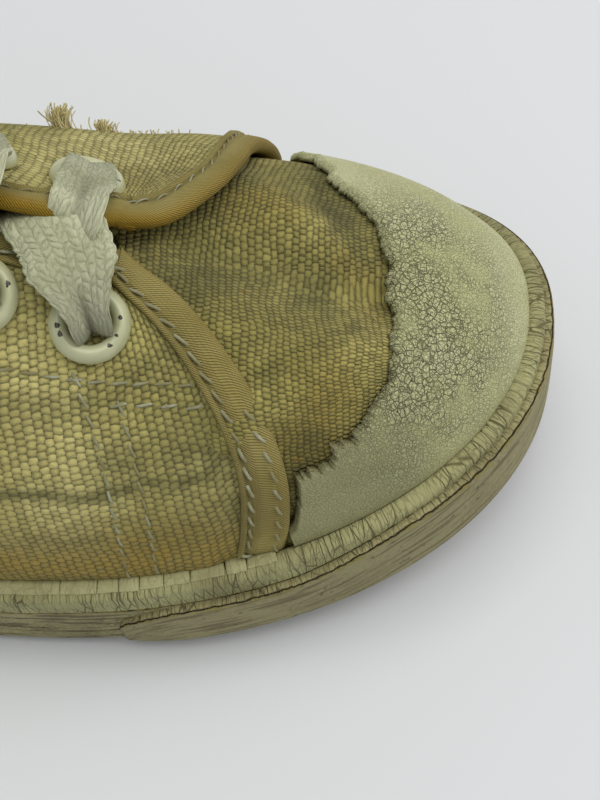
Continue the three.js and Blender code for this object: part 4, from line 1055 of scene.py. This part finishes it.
def tongue_rows():
    half = np.linspace(0, 1, 20)
    side = np.r_[np.full(20, -1), np.full(20, 1)]
    up = 1 - tongue_cover * (1 - np.r_[half, half[::-1]])
    top, low = [], []
    for at in np.linspace(tongue_front, tongue_rear, 70):
        edge = np.r_[np.sqrt(np.clip(half / 0.12, 0, 1)), np.sqrt(np.clip(half[::-1] / 0.12, 0, 1))]
        sheet_top, sheet_low = np.empty((40, 3)), np.empty((40, 3))
        for s in (-1, 1):
            keep = side == s
            a = np.full(keep.sum(), at)
            puff = tongue_thick * (1 - edge[keep]) / 2
            sheet_top[keep] = off_last(s, a, up[keep], -(vamp_wall + 0.3) - puff)
            sheet_low[keep] = off_last(s, a, up[keep], -(vamp_wall + 0.3 + tongue_thick) + puff)
        top.append(sheet_top)
        low.append(sheet_low)
    last_top, last_low = top[-1], low[-1]
    crown = max(last_top[:, 2])
    middle = float(smooth(wall_at, wall_rows["mid_y"], tongue_rear))
    for share in np.linspace(0, 1, 30)[1:]:
        move = np.array([-0.8, 0, 0.6]) * tongue_past * share
        narrow = 1 - 0.42 * math.sin(math.pi * share**0.7)
        round_off = 1 - 0.35 * max(0, (share - 0.6) / 0.4) ** 2
        for last, rows in ((last_top, top), (last_low, low)):
            droop = np.maximum((crown - last[:, 2]) * 0.55 * share, 0)
            across = middle + (last[:, 1] - middle) * narrow * round_off
            rows.append(np.stack([last[:, 0], across, last[:, 2] + droop], -1) + move)
    return np.array(top), np.array(low)


tongue_top, tongue_low = tongue_rows()
tongue_grid = np.concatenate([tongue_top, tongue_low[:, ::-1], tongue_top[:, :1]], 1)
tongue_run = np.r_[0, np.cumsum(np.linalg.norm(np.diff(tongue_top[:, 20], axis=0), axis=1))]
tongue_flat = cloth_map(tongue_top, np.array([1.0, 0, 0]), np.stack([-tongue_run, 0 * tongue_run], -1), 1)
tongue_map = np.concatenate([tongue_flat, tongue_flat[:, ::-1], tongue_flat[:, :1]], 1)
tongue_paints = {"grime": np.full(tongue_grid.shape[:2], 0.2), "rubbed": np.full(tongue_grid.shape[:2], 0.1)}
tube("tongue_pad", tongue_grid, tongue_map, quarter_canvas, ["tongue"], paints=tongue_paints)

# Eyelets: rolled steel rings, painted off-white and set through the canvas. The paint is glossy, and has
# chipped to dark metal in a few spots round the rim.
eyelet_count, eyelet_pitch = 5, 10.8
eyelet_first, eyelet_inset = {-1: 42.2, 1: 39.8}, {-1: 7.4, 1: 5.3}
eyelet_radius, eyelet_hole = 4.25, 2.3


def wall_length(side, at):
    line = lasted(side, np.full(17, at), np.linspace(0, 1, 17))
    return np.linalg.norm(np.diff(line, axis=0), axis=1).sum()


def eyelet_seat(side, number):
    """Centre of an eyelet on its flap, the outward direction there, and where it is round the shoe."""
    low, high = 0.22, 0.7
    for _ in range(24):
        at = (low + high) / 2
        up = 1 - eyelet_inset[side] / wall_length(side, at)
        if lasted(side, at, up)[0] > eyelet_first[side] - eyelet_pitch * number:
            low = at
        else:
            high = at
    at, up = np.array([at]), np.array([up])
    axis = outward(side, at, up)[0]
    return off_last(side, at, up, flap_height(side, at, up) + quarter_thick)[0], axis, float(at[0])


paint_coat = Finish("eyelet_paint", roughness=0.3)
paint_coat.shader.inputs["Specular IOR Level"].default_value = 0.5
paint_coat.shader.inputs["Coat Weight"].default_value = 0.35
paint_spot = paint_coat.place()
paint_chip = paint_coat.cloud(paint_coat.stretched(paint_spot, 1, 1.8, 1), 1500, detail=2, roughness=0.6)
paint_shade = paint_coat.cloud(paint_spot, 160, detail=3)
paint_colour = paint_coat.mixed(paint_coat.scaled(paint_shade, 0.35, 0.7),
                                (0.50, 0.505, 0.29), (0.60, 0.605, 0.375))
paint_loss = paint_coat.maths("ADD", paint_coat.painted("chipped"),
                              paint_coat.maths("MULTIPLY", paint_chip, 1.4))
paint_bare = paint_coat.scaled(paint_loss, 1.34, 1.4)
paint_worn = paint_coat.mixed(paint_bare, paint_colour, (0.03, 0.02, 0.012))
eyelet_paint = paint_coat.done(paint_worn, paint_coat.relief(paint_bare, -0.00012))
first_chips = [(39.9, -14.4, 47.3), (40.2, -15.2, 46.8), (45.1, -15.6, 45.1),
               (46.0, -13.0, 46.1), (45.7, -14.6, 45.5)]


def eyelet_ring(name, seat, axis, chips, node_name):
    helper = np.array([1.0, 0, 0]) if abs(axis[0]) < 0.8 else np.array([0, 1.0, 0])
    right = np.cross(helper, axis)
    right /= np.linalg.norm(right)
    ahead = np.cross(axis, right)
    barrel = eyelet_hole + 0.4
    rolled = curve_through([[barrel + 0.2, 0.6], [eyelet_radius - 0.1, 0.15], [eyelet_radius, 0.7],
                            [eyelet_radius - 0.4, 1.4], [(eyelet_radius + eyelet_hole) / 2, 1.75],
                            [eyelet_hole + 0.3, 1.4], [eyelet_hole, 0.7], [eyelet_hole, -0.5],
                            [eyelet_hole, -2.3], [barrel, -2.35], [barrel, 0.4]], 56)
    rolled = np.vstack([rolled, rolled[:1]])
    turn = np.linspace(0, 2 * np.pi, 113)
    spokes = np.cos(turn)[:, None] * right + np.sin(turn)[:, None] * ahead
    grid = seat + spokes[:, None] * rolled[None, :, :1] + axis * rolled[None, :, 1:]
    if chips is None:
        angles = np.random.default_rng(len(name) + int(abs(seat[0]) * 10)).uniform(0, 6.28, 4)
        chips = [seat + axis * 1.6 + 3.4 * (math.cos(angle) * right + math.sin(angle) * ahead)
                 for angle in angles]
    lost = np.zeros(grid.shape[:2])
    for chip in chips:
        away = grid - np.asarray(chip)
        lost = np.maximum(lost, np.exp(-(((away**2).sum(-1)) / 0.42**2)))
    flat = np.stack([np.repeat(turn[:, None] * 4, len(rolled), 1),
                     np.repeat(np.arange(len(rolled))[None] * 0.3, len(turn), 0)], -1)
    return tube(name, grid, flat, eyelet_paint, [node_name], wrap_rows=True,
                paints={"chipped": lost})


eyelets = {}
for ring_side, ring_word in ((-1, "outer"), (1, "inner")):
    for ring_number in range(eyelet_count):
        ring_seat, ring_axis, ring_at = eyelet_seat(ring_side, ring_number)
        eyelets[ring_side, ring_number] = (ring_seat, ring_axis, ring_at)
        ring_name = f"eyelet_ring_{ring_word}_{ring_number + 1}"
        ring_chips = first_chips if (ring_side, ring_number) == (-1, 0) else None
        eyelet_ring(ring_name, ring_seat, ring_axis, ring_chips, f"eyelet_{ring_word}_{ring_number + 1}")

# Laces: one flat cotton braid, laced across. It runs under the flaps between the first pair of eyelets, comes
# up through each hole pinched together, crosses over the throat, and goes under the other flap.
lace_width, lace_thick = 9.0, 1.5
lace = Finish("lace_cotton", roughness=0.95)
lace.shader.inputs["Sheen Weight"].default_value = 0.1
lace_run = lace.cloth()
lace_laid = lace.wandering(lace_run, 0.55, 3, (1.3, 1.2, 0))
lace_parts = lace.node("ShaderNodeSeparateXYZ", {"Vector": lace_laid})
lace_columns = lace.maths("DIVIDE", lace_parts.outputs["Y"], 0.92)
lace_odd = lace.maths("FLOORED_MODULO", lace.maths("FLOOR", lace_columns), 2.0)
lace_in_column = lace.maths("SUBTRACT", lace.maths("FRACT", lace_columns), 0.5)
lace_way = lace.maths("SUBTRACT", lace.maths("MULTIPLY", lace_odd, 2.0), 1.0)
lace_lean = lace.maths("MULTIPLY", lace.maths("MULTIPLY", lace_in_column, 0.55), lace_way)
lace_steps = lace.maths("ADD", lace.maths("DIVIDE", lace_parts.outputs["X"], 1.0),
                        lace.maths("ADD", lace_lean, lace.maths("MULTIPLY", lace_odd, 0.5)))
lace_in_step = lace.maths("ABSOLUTE", lace.maths("SUBTRACT", lace.maths("FRACT", lace_steps), 0.5))
lace_side = lace.maths("POWER", lace.maths("MULTIPLY", lace.maths("ABSOLUTE", lace_in_column), 1.96), 2.2)
lace_end = lace.maths("POWER", lace.maths("MULTIPLY", lace_in_step, 1.96), 2.2)
lace_loop = lace.maths("MULTIPLY", lace.maths("SUBTRACT", 1.0, lace_side),
                       lace.maths("SUBTRACT", 1.0, lace_end))
lace_fuzz = lace.cloud(lace.stretched(lace_laid, 1.6, 6), 1, detail=4, roughness=0.7)
lace_patch = lace.cloud(lace.place(), 150, detail=4)
lace_tone = lace.mixed(lace.scaled(lace_patch, 0.35, 0.68), (0.50, 0.505, 0.31), (0.71, 0.72, 0.48))
lace_thready = lace.mixed(lace.scaled(lace_fuzz, 0.36, 0.5, 0.4, 0.0), lace_tone, (0.26, 0.255, 0.15))
# Painted shade in the gaps between the braid's loops.
lace_gap_shaded = lace.mixed(lace.scaled(lace_loop, 0.0, 0.45, 0.2, 0.0), lace_thready, (0.2, 0.19, 0.105))
# Darkening from the painted attribute: dirt and painted shade.
lace_soiled_and_shaded = lace.mixed(lace.painted("grime"), lace_gap_shaded, (0.13, 0.12, 0.07))
lace_height = lace.maths("ADD", lace_loop, lace.maths("MULTIPLY", lace_fuzz, 1.0))
lace_cotton = lace.done(lace_soiled_and_shaded, lace.relief(lace_height, 0.00024))


def lace_length(name, path, ups, widths, crimps, dirt, node_names=()):
    """A flat braid along a path. ups are the ways its flat face looks, widths its width and crimps how far
    it is folded along its middle, from 0 flat to 1 pinched."""
    count = max(len(path) * 10, 60)
    line = curve_through(path, count)
    share = np.linspace(0, 1, count)
    keys = np.linspace(0, 1, len(path))
    up = np.stack([np.interp(share, keys, np.asarray(ups)[:, k]) for k in range(3)], -1)
    run = np.r_[0, np.cumsum(np.linalg.norm(np.diff(line, axis=0), axis=1))]
    wide = np.interp(share, keys, widths) / 2 * (1 + 0.025 * np.sin(run * 2 * np.pi / 1.3))
    crimp = np.interp(share, keys, crimps)
    way = np.gradient(line, axis=0)
    way /= np.linalg.norm(way, axis=1, keepdims=True)
    across = np.cross(way, up)
    across /= np.linalg.norm(across, axis=1, keepdims=True)
    up = np.cross(across, way)
    turn = np.linspace(0, 2 * np.pi, 41)
    flat_x = np.sign(np.cos(turn)) * np.abs(np.cos(turn)) ** 0.75
    flat_z = np.sign(np.sin(turn)) * np.abs(np.sin(turn)) ** 0.75 * lace_thick / 2
    flat_z = flat_z * (1 - 0.25 * np.abs(flat_x) ** 3)
    x = flat_x[None] * wide[:, None]
    z = flat_z[None] + crimp[:, None] * (np.abs(flat_x) ** 1.15)[None] * wide[:, None] * 1.1
    x = x * (1 - 0.4 * crimp[:, None])
    grid = line[:, None] + across[:, None] * x[..., None] + up[:, None] * z[..., None]
    over = np.repeat((flat_x * lace_width / 2 + 20)[None], count, 0)
    weave = np.stack([np.repeat(run[:, None], 41, 1), over], -1)
    # Painted shade in the cleft of a pinched fold, added to the darkening along the lace.
    cleft = crimp[:, None] * np.exp(-((flat_x / 0.22) ** 2))[None] * 0.9
    grime = np.clip(np.interp(share, keys, dirt)[:, None] + cleft * (crimp[:, None] > 0.3), 0, 1)
    return tube(name, grid, weave, lace_cotton, node_names, paints={"grime": grime})


def lace_bar(side, number):
    """Path of one bar: up through its own eyelet, over the flap's edge, across, under, to the next eyelet."""
    outer = side < 0
    seat, axis, at = eyelets[side, number]
    far_seat, far_axis, far_at = eyelets[-side, number + 1]
    over_at = np.array([at + (0.022 if outer else -0.012)])
    rim, far_rim = (lasted(s, over_at, throat_up(s, over_at))[0] for s in (side, -side))
    own_way = outward(side, over_at, np.array([1.0]))[0]
    edge_over = rim + own_way * (3.3 if outer else 3.0)
    middle = (rim + far_rim) / 2
    bend = middle + np.array([-0.4, -side * (1.4 if outer else 0.5), 2.5 if outer else -0.6])
    dive = middle + np.array([-0.8, -side * (2.6 if outer else 1.4), -1.4 if outer else -3.6])
    below = off_last(-side, over_at * 0.5 + far_at * 0.5, np.array([0.9]), np.array([-2.8]))[0]
    climb = seat * 0.5 + edge_over * 0.5 + axis * (1.7 if outer else 0.9)
    path = [seat - axis * 6.0, seat - axis * 1.5, seat + axis * 1.9, climb, edge_over, bend, dive, below,
            far_seat - far_axis * 3.2, far_seat - far_axis * 1.2]
    reach = edge_over - seat
    across_top = np.array([0, -side * 0.8, 0.5])
    ups = [axis - reach * 0.12, axis - reach * 0.12, axis - reach * 0.08, axis,
           (own_way + np.array([0, 0, 1.0])) / 2, (across_top + np.array([0, 0, 1.0])) / 2, across_top,
           far_axis, far_axis, far_axis]
    fold = 0.0 if outer else 0.6
    full = 10.0 if outer else 7.4
    widths = [3.0, 3.8, 6.0, full, full, full, full - 1, 6, 3.6, 3.0]
    crimps = [0.6, 0.7, 0.55 - fold * 0.5, 0.1 + fold * 0.4, 0.03 + fold * 0.8, fold * 0.4,
              0.1, 0.2, 0.6, 0.6]
    # Darkening along the bar: painted shade where it dives under the far flap and into the eyelets, and dirt.
    dirt = [0.8, 0.7, 0.3, 0.03, 0, 0.1, 0.45, 0.5, 0.6, 0.7]
    return path, ups, widths, crimps, dirt


def lace_front():
    """The bar that joins the first two eyelets under the flaps."""
    (left, left_way, left_at), (right, right_way, right_at) = eyelets[-1, 0], eyelets[1, 0]
    ends = [off_last(side, np.array([at]), np.array([0.93]), np.array([-2.4]))[0]
            for side, at in ((-1, left_at), (1, right_at))]
    middle = (ends[0] + ends[1]) / 2 + np.array([1.0, 0, 0.4])
    path = [left - left_way * 2.4, left - left_way * 3.6, ends[0], middle, ends[1],
            right - right_way * 3.6, right - right_way * 2.4]
    lift = np.array([0.3, 0, 0.95])
    # The last list darkens the bar where it lies hidden under the flaps: painted shade.
    return path, [left_way, left_way, lift, lift, lift, right_way, right_way], [4.4, 5, 7, 7.5, 7, 5, 4.4], \
        [0.9, 0.7, 0.1, 0, 0.1, 0.7, 0.9], [0.7, 0.6, 0.4, 0.3, 0.4, 0.6, 0.7]


lace_length("lace_front", *lace_front())
for cross_number in range(eyelet_count - 1):
    for bar_side, bar_word in ((1, "inner"), (-1, "outer")):
        bar = lace_bar(bar_side, cross_number)
        bar_nodes = [f"lace_crossing_{cross_number + 1}"] if bar_side < 0 else []
        lace_length(f"lace_{bar_word}_{cross_number + 1}", *bar, bar_nodes)

# Stitching: pale grey cotton thread in running rows: one along the binding's inner edge, one near its fold,
# and rows down and across the outer quarter where its stay is sewn on behind.
thread = Finish("stitch_thread", roughness=0.85)
thread_shade = thread.cloud(thread.place(), 900, detail=3)
thread_colour = thread.mixed(thread.scaled(thread_shade, 0.35, 0.7), (0.27, 0.27, 0.165), (0.43, 0.43, 0.29))
thread_dirt = thread.scaled(thread.cloud(thread.place(), 160, detail=3), 0.38, 0.62, 0, 0.85)
thread_soiled = thread.mixed(thread_dirt, thread_colour, (0.24, 0.205, 0.085))
stitch_thread = thread.done(thread_soiled, thread.relief(thread_shade, 0.0001))


def socket_named(tree, name):
    return next(item.identifier for item in tree.interface.items_tree if item.name == name)


def new_tree(name, sizes, seed):
    """An empty geometry nodes tree with named inputs: sizes in metres, the thread's material and a seed."""
    tree = bpy.data.node_groups.new(name, "GeometryNodeTree")
    face = tree.interface
    face.new_socket("Geometry", in_out="INPUT", socket_type="NodeSocketGeometry")
    face.new_socket("Geometry", in_out="OUTPUT", socket_type="NodeSocketGeometry")
    for key, value in sizes:
        face.new_socket(key, in_out="INPUT", socket_type="NodeSocketFloat").default_value = value
    face.new_socket("Thread", in_out="INPUT", socket_type="NodeSocketMaterial")
    face.new_socket("Seed", in_out="INPUT", socket_type="NodeSocketInt").default_value = seed
    return tree, tree.nodes.new("NodeGroupInput").outputs


def tree_node(tree, kind, inputs=(), output=0, **settings):
    """One output of a new node. An input takes a plain value or another node's output."""
    made = tree.nodes.new(kind)
    for key, value in settings.items():
        setattr(made, key, value)
    for key, value in dict(inputs).items():
        if isinstance(value, bpy.types.NodeSocket):
            tree.links.new(value, made.inputs[key])
        else:
            made.inputs[key].default_value = value
    return made.outputs[output]


def end_tree(tree, copies, thread):
    """Stands the copies on their points, makes them real and gives them the thread's material."""
    placed = tree_node(tree, "GeometryNodeInstanceOnPoints", copies)
    real = tree_node(tree, "GeometryNodeRealizeInstances", {0: placed})
    coloured = tree_node(tree, "GeometryNodeSetMaterial", {"Geometry": real, "Material": thread})
    tree.links.new(coloured, tree.nodes.new("NodeGroupOutput").inputs[0])
    return tree


def stitch_tree():
    """Geometry nodes: short slanted stitches at even steps along a line that carries its outward way."""
    sizes = (("Step", 0.0032), ("Length", 0.0028), ("Thickness", 0.00028), ("Slant", 0.16))
    tree, given = new_tree("running_stitch", sizes, 3)
    add = partial(tree_node, tree)
    bow, lift = -0.0014, 0.00018
    curve = add("GeometryNodeMeshToCurve", {0: given["Geometry"]})
    steps = add("GeometryNodeResampleCurve", {"Curve": curve, "Length": given["Step"]}, mode="LENGTH")
    shaft = add("GeometryNodeCurvePrimitiveLine", {"Direction": (1, 0, 0), "Length": given["Length"]},
                mode="DIRECTION")
    fine = add("GeometryNodeResampleCurve", {"Curve": shaft, "Count": 7})
    factor = add("GeometryNodeSplineParameter", output="Factor")
    centred = add("ShaderNodeMath", {0: factor, 1: 0.5}, operation="SUBTRACT")
    squared = add("ShaderNodeMath", {0: centred, 1: centred}, operation="MULTIPLY")
    sag = add("ShaderNodeMath", {0: squared, 1: bow, 2: lift}, operation="MULTIPLY_ADD")
    dip = add("ShaderNodeCombineXYZ", {"Z": sag})
    bowed = add("GeometryNodeSetPosition", {"Geometry": fine, "Offset": dip})
    back = add("ShaderNodeMath", {0: given["Length"], 1: -0.5}, operation="MULTIPLY")
    shift = add("ShaderNodeCombineXYZ", {"X": back})
    middle = add("GeometryNodeSetPosition", {"Geometry": bowed, "Offset": shift})
    ring = add("GeometryNodeCurvePrimitiveCircle", {"Resolution": 7, "Radius": given["Thickness"]})
    body = add("GeometryNodeCurveToMesh", {"Curve": middle, "Profile Curve": ring, "Fill Caps": True})
    tangent = add("GeometryNodeInputTangent")
    along = add("FunctionNodeAlignRotationToVector", {"Vector": tangent}, axis="X")
    way = add("GeometryNodeInputNamedAttribute", {"Name": "outward"}, "Attribute", data_type="FLOAT_VECTOR")
    stood = add("FunctionNodeAlignRotationToVector", {"Rotation": along, "Vector": way}, axis="Z",
                pivot_axis="X")
    chance = add("FunctionNodeRandomValue", {2: 0.6, 3: 1.4, "Seed": given["Seed"]}, 1, data_type="FLOAT")
    lean = add("ShaderNodeMath", {0: chance, 1: given["Slant"]}, operation="MULTIPLY")
    yaw = add("FunctionNodeEulerToRotation", {0: add("ShaderNodeCombineXYZ", {"Z": lean})})
    spun = add("FunctionNodeRotateRotation", {"Rotation": stood, "Rotate By": yaw}, rotation_space="LOCAL")
    return end_tree(tree, {"Points": steps, "Instance": body, "Rotation": spun}, given["Thread"])


running_stitch = stitch_tree()


def made_plain(source, tree, settings, name):
    """Runs a geometry nodes tree on a guide mesh, and keeps the result as a plain mesh that rides."""
    guide = bpy.data.objects.new(f"{name}_guide", source)
    bpy.context.scene.collection.objects.link(guide)
    modifier = guide.modifiers.new("stitches", "NODES")
    modifier.node_group = tree
    for key, value in settings.items():
        modifier[socket_named(tree, key)] = value
    ready = guide.evaluated_get(bpy.context.evaluated_depsgraph_get())
    mesh = bpy.data.meshes.new_from_object(ready)
    bpy.data.objects.remove(guide)
    mesh.name = name
    made = bpy.data.objects.new(name, mesh)
    bpy.context.scene.collection.objects.link(made)
    mesh.shade_smooth()
    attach(made, "root")
    return made


def stitched(name, points, normals, step=0.00235, length=0.0018, thickness=0.0002, slant=0.3, seed=3):
    mesh = bpy.data.meshes.new(name)
    edges = [(i, i + 1) for i in range(len(points) - 1)]
    mesh.from_pydata([tuple(p * millimetre) for p in points], edges, [])
    way = mesh.attributes.new("outward", "FLOAT_VECTOR", "POINT")
    way.data.foreach_set("vector", np.asarray(normals, np.float32).ravel())
    values = {"Step": step, "Length": length, "Thickness": thickness, "Slant": slant, "Thread": stitch_thread,
              "Seed": seed}
    return made_plain(mesh, running_stitch, values, name)


for sewn_side, sewn_word in ((-1, "outer"), (1, "inner")):
    sewn_at, sewn_up, sewn_run, sewn_line, sewn_in = cut_edge(sewn_side)
    sewn_wide = binding_width(sewn_side, sewn_run)
    for row_word, row_in in (("inner_row", sewn_wide - 1.12), ("edge_row", 0 * sewn_wide + 0.9)):
        if row_word == "edge_row" and sewn_side > 0:
            continue
        row_at, row_up = settle(sewn_side, sewn_at, sewn_up, sewn_line + sewn_in * row_in[:, None])
        if row_word == "edge_row":
            row_at, row_up = row_at[5:68], row_up[5:68]
        row_height = flap_height(sewn_side, row_at, row_up) + quarter_thick + binding_thick - 0.02
        stitched(f"stitches_{sewn_word}_{row_word}", off_last(sewn_side, row_at, row_up, row_height),
                 outward(sewn_side, row_at, row_up), thickness=0.0002 if sewn_side < 0 else 0.0001)

quarter_rows_sewn = {
    "down_back": ([0.305, 0.300, 0.303, 0.311], [0.67, 0.508, 0.288, 0.03]),
    "down_front": ([0.275, 0.279, 0.285, 0.294], [0.593, 0.446, 0.261, 0.041]),
    "across_upper": ([0.44, 0.39, 0.344, 0.317, 0.304, 0.269, 0.222, 0.187, 0.162],
                     [0.66, 0.67, 0.673, 0.67, 0.669, 0.665, 0.653, 0.632, 0.619]),
    "across_lower": ([0.276, 0.244, 0.205, 0.19], [0.604, 0.596, 0.57, 0.56]),
}
for row_name, (row_keys_at, row_keys_up) in quarter_rows_sewn.items():
    row_line = curve_through(np.stack([row_keys_at, row_keys_up], -1), 60)
    row_at, row_up = row_line[:, 0], row_line[:, 1]
    row_height = flap_height(-1, row_at, row_up) + quarter_thick - 0.08
    stitched(f"stitches_{row_name}", off_last(-1, row_at, row_up, row_height), outward(-1, row_at, row_up),
             step=0.00225, length=0.00205, thickness=0.00017, slant=0.18)

# Frayed tufts: the far flap's canvas has worn through on its crest. Its cotton ends stand up in two thick
# tufts, with a thin line of short fuzz between and behind them.
fibre_colour = Finish("frayed_cotton", roughness=0.95)
fibre_shade = fibre_colour.cloud(fibre_colour.place(), 700, detail=2)
fibre_mix = fibre_colour.mixed(fibre_shade, (0.62, 0.53, 0.25), (0.80, 0.72, 0.42))
frayed_cotton = fibre_colour.done(fibre_mix)


def fibre_tree():
    """Geometry nodes: thin bent fibres standing on points that carry their outward way."""
    tree, given = new_tree("loose_fibres", (("Length", 0.002), ("Thickness", 0.00005), ("Curl", 0.9)), 5)
    add = partial(tree_node, tree)
    points = add("GeometryNodeMeshToPoints", {"Mesh": given["Geometry"]})
    arc = add("GeometryNodeCurvePrimitiveBezierSegment",
              {"Resolution": 6, "Start": (0, 0, 0), "Start Handle": (0, 0, 0.4),
               "End Handle": (0.15, 0, 0.8), "End": (0.5, 0.1, 1.0)})
    fine = add("ShaderNodeMath", {0: given["Thickness"], 1: given["Length"]}, operation="DIVIDE")
    ring = add("GeometryNodeCurvePrimitiveCircle", {"Resolution": 3, "Radius": fine})
    body = add("GeometryNodeCurveToMesh", {"Curve": arc, "Profile Curve": ring, "Fill Caps": True})
    way = add("GeometryNodeInputNamedAttribute", {"Name": "outward"}, "Attribute", data_type="FLOAT_VECTOR")
    stood = add("FunctionNodeAlignRotationToVector", {"Vector": way}, axis="Z")
    lean = add("FunctionNodeRandomValue", {0: (-1, -1, -3.14), 1: (1, 1, 3.14), "Seed": given["Seed"]},
               data_type="FLOAT_VECTOR")
    curled = add("ShaderNodeVectorMath", {0: lean, 1: given["Curl"]}, operation="MULTIPLY")
    bent = add("FunctionNodeEulerToRotation", {0: curled})
    spun = add("FunctionNodeRotateRotation", {"Rotation": stood, "Rotate By": bent}, rotation_space="LOCAL")
    share = add("FunctionNodeRandomValue", {2: 0.35, 3: 1.0, "Seed": given["Seed"]}, 1, data_type="FLOAT")
    size = add("ShaderNodeMath", {0: share, 1: given["Length"]}, operation="MULTIPLY")
    return end_tree(tree, {"Points": points, "Instance": body, "Rotation": spun, "Scale": size},
                    given["Thread"])


loose_fibres = fibre_tree()
tufts = {"high": (0.345, 0.49, 0.7, 120, 0.003), "low": (0.32, 0.457, 0.7, 110, 0.0016),
         "crest": (0.31, 0.44, 8.0, 50, 0.0007)}
for tuft_name, (tuft_at, tuft_up, tuft_wide, tuft_count, tuft_long) in tufts.items():
    tuft_chance = np.random.default_rng(tuft_count)
    hair_at = tuft_at + tuft_chance.normal(0, tuft_wide / 230, tuft_count)
    hair_up = tuft_up + tuft_chance.normal(0, 0.012, tuft_count)
    hair_root = off_last(1, hair_at, hair_up, flap_height(1, hair_at, hair_up) + quarter_thick - 0.1)
    tuft_mesh = bpy.data.meshes.new(f"tuft_{tuft_name}")
    tuft_mesh.from_pydata([tuple(p * millimetre) for p in hair_root], [], [])
    tuft_way = tuft_mesh.attributes.new("outward", "FLOAT_VECTOR", "POINT")
    hair_way = outward(1, hair_at, hair_up) + np.array([-0.9, 0.1, 0.6])
    tuft_way.data.foreach_set("vector", hair_way.astype(np.float32).ravel())
    made_plain(tuft_mesh, loose_fibres, {"Length": tuft_long, "Thickness": 0.0001, "Curl": 0.4,
                                         "Thread": frayed_cotton, "Seed": 5}, f"tuft_{tuft_name}")
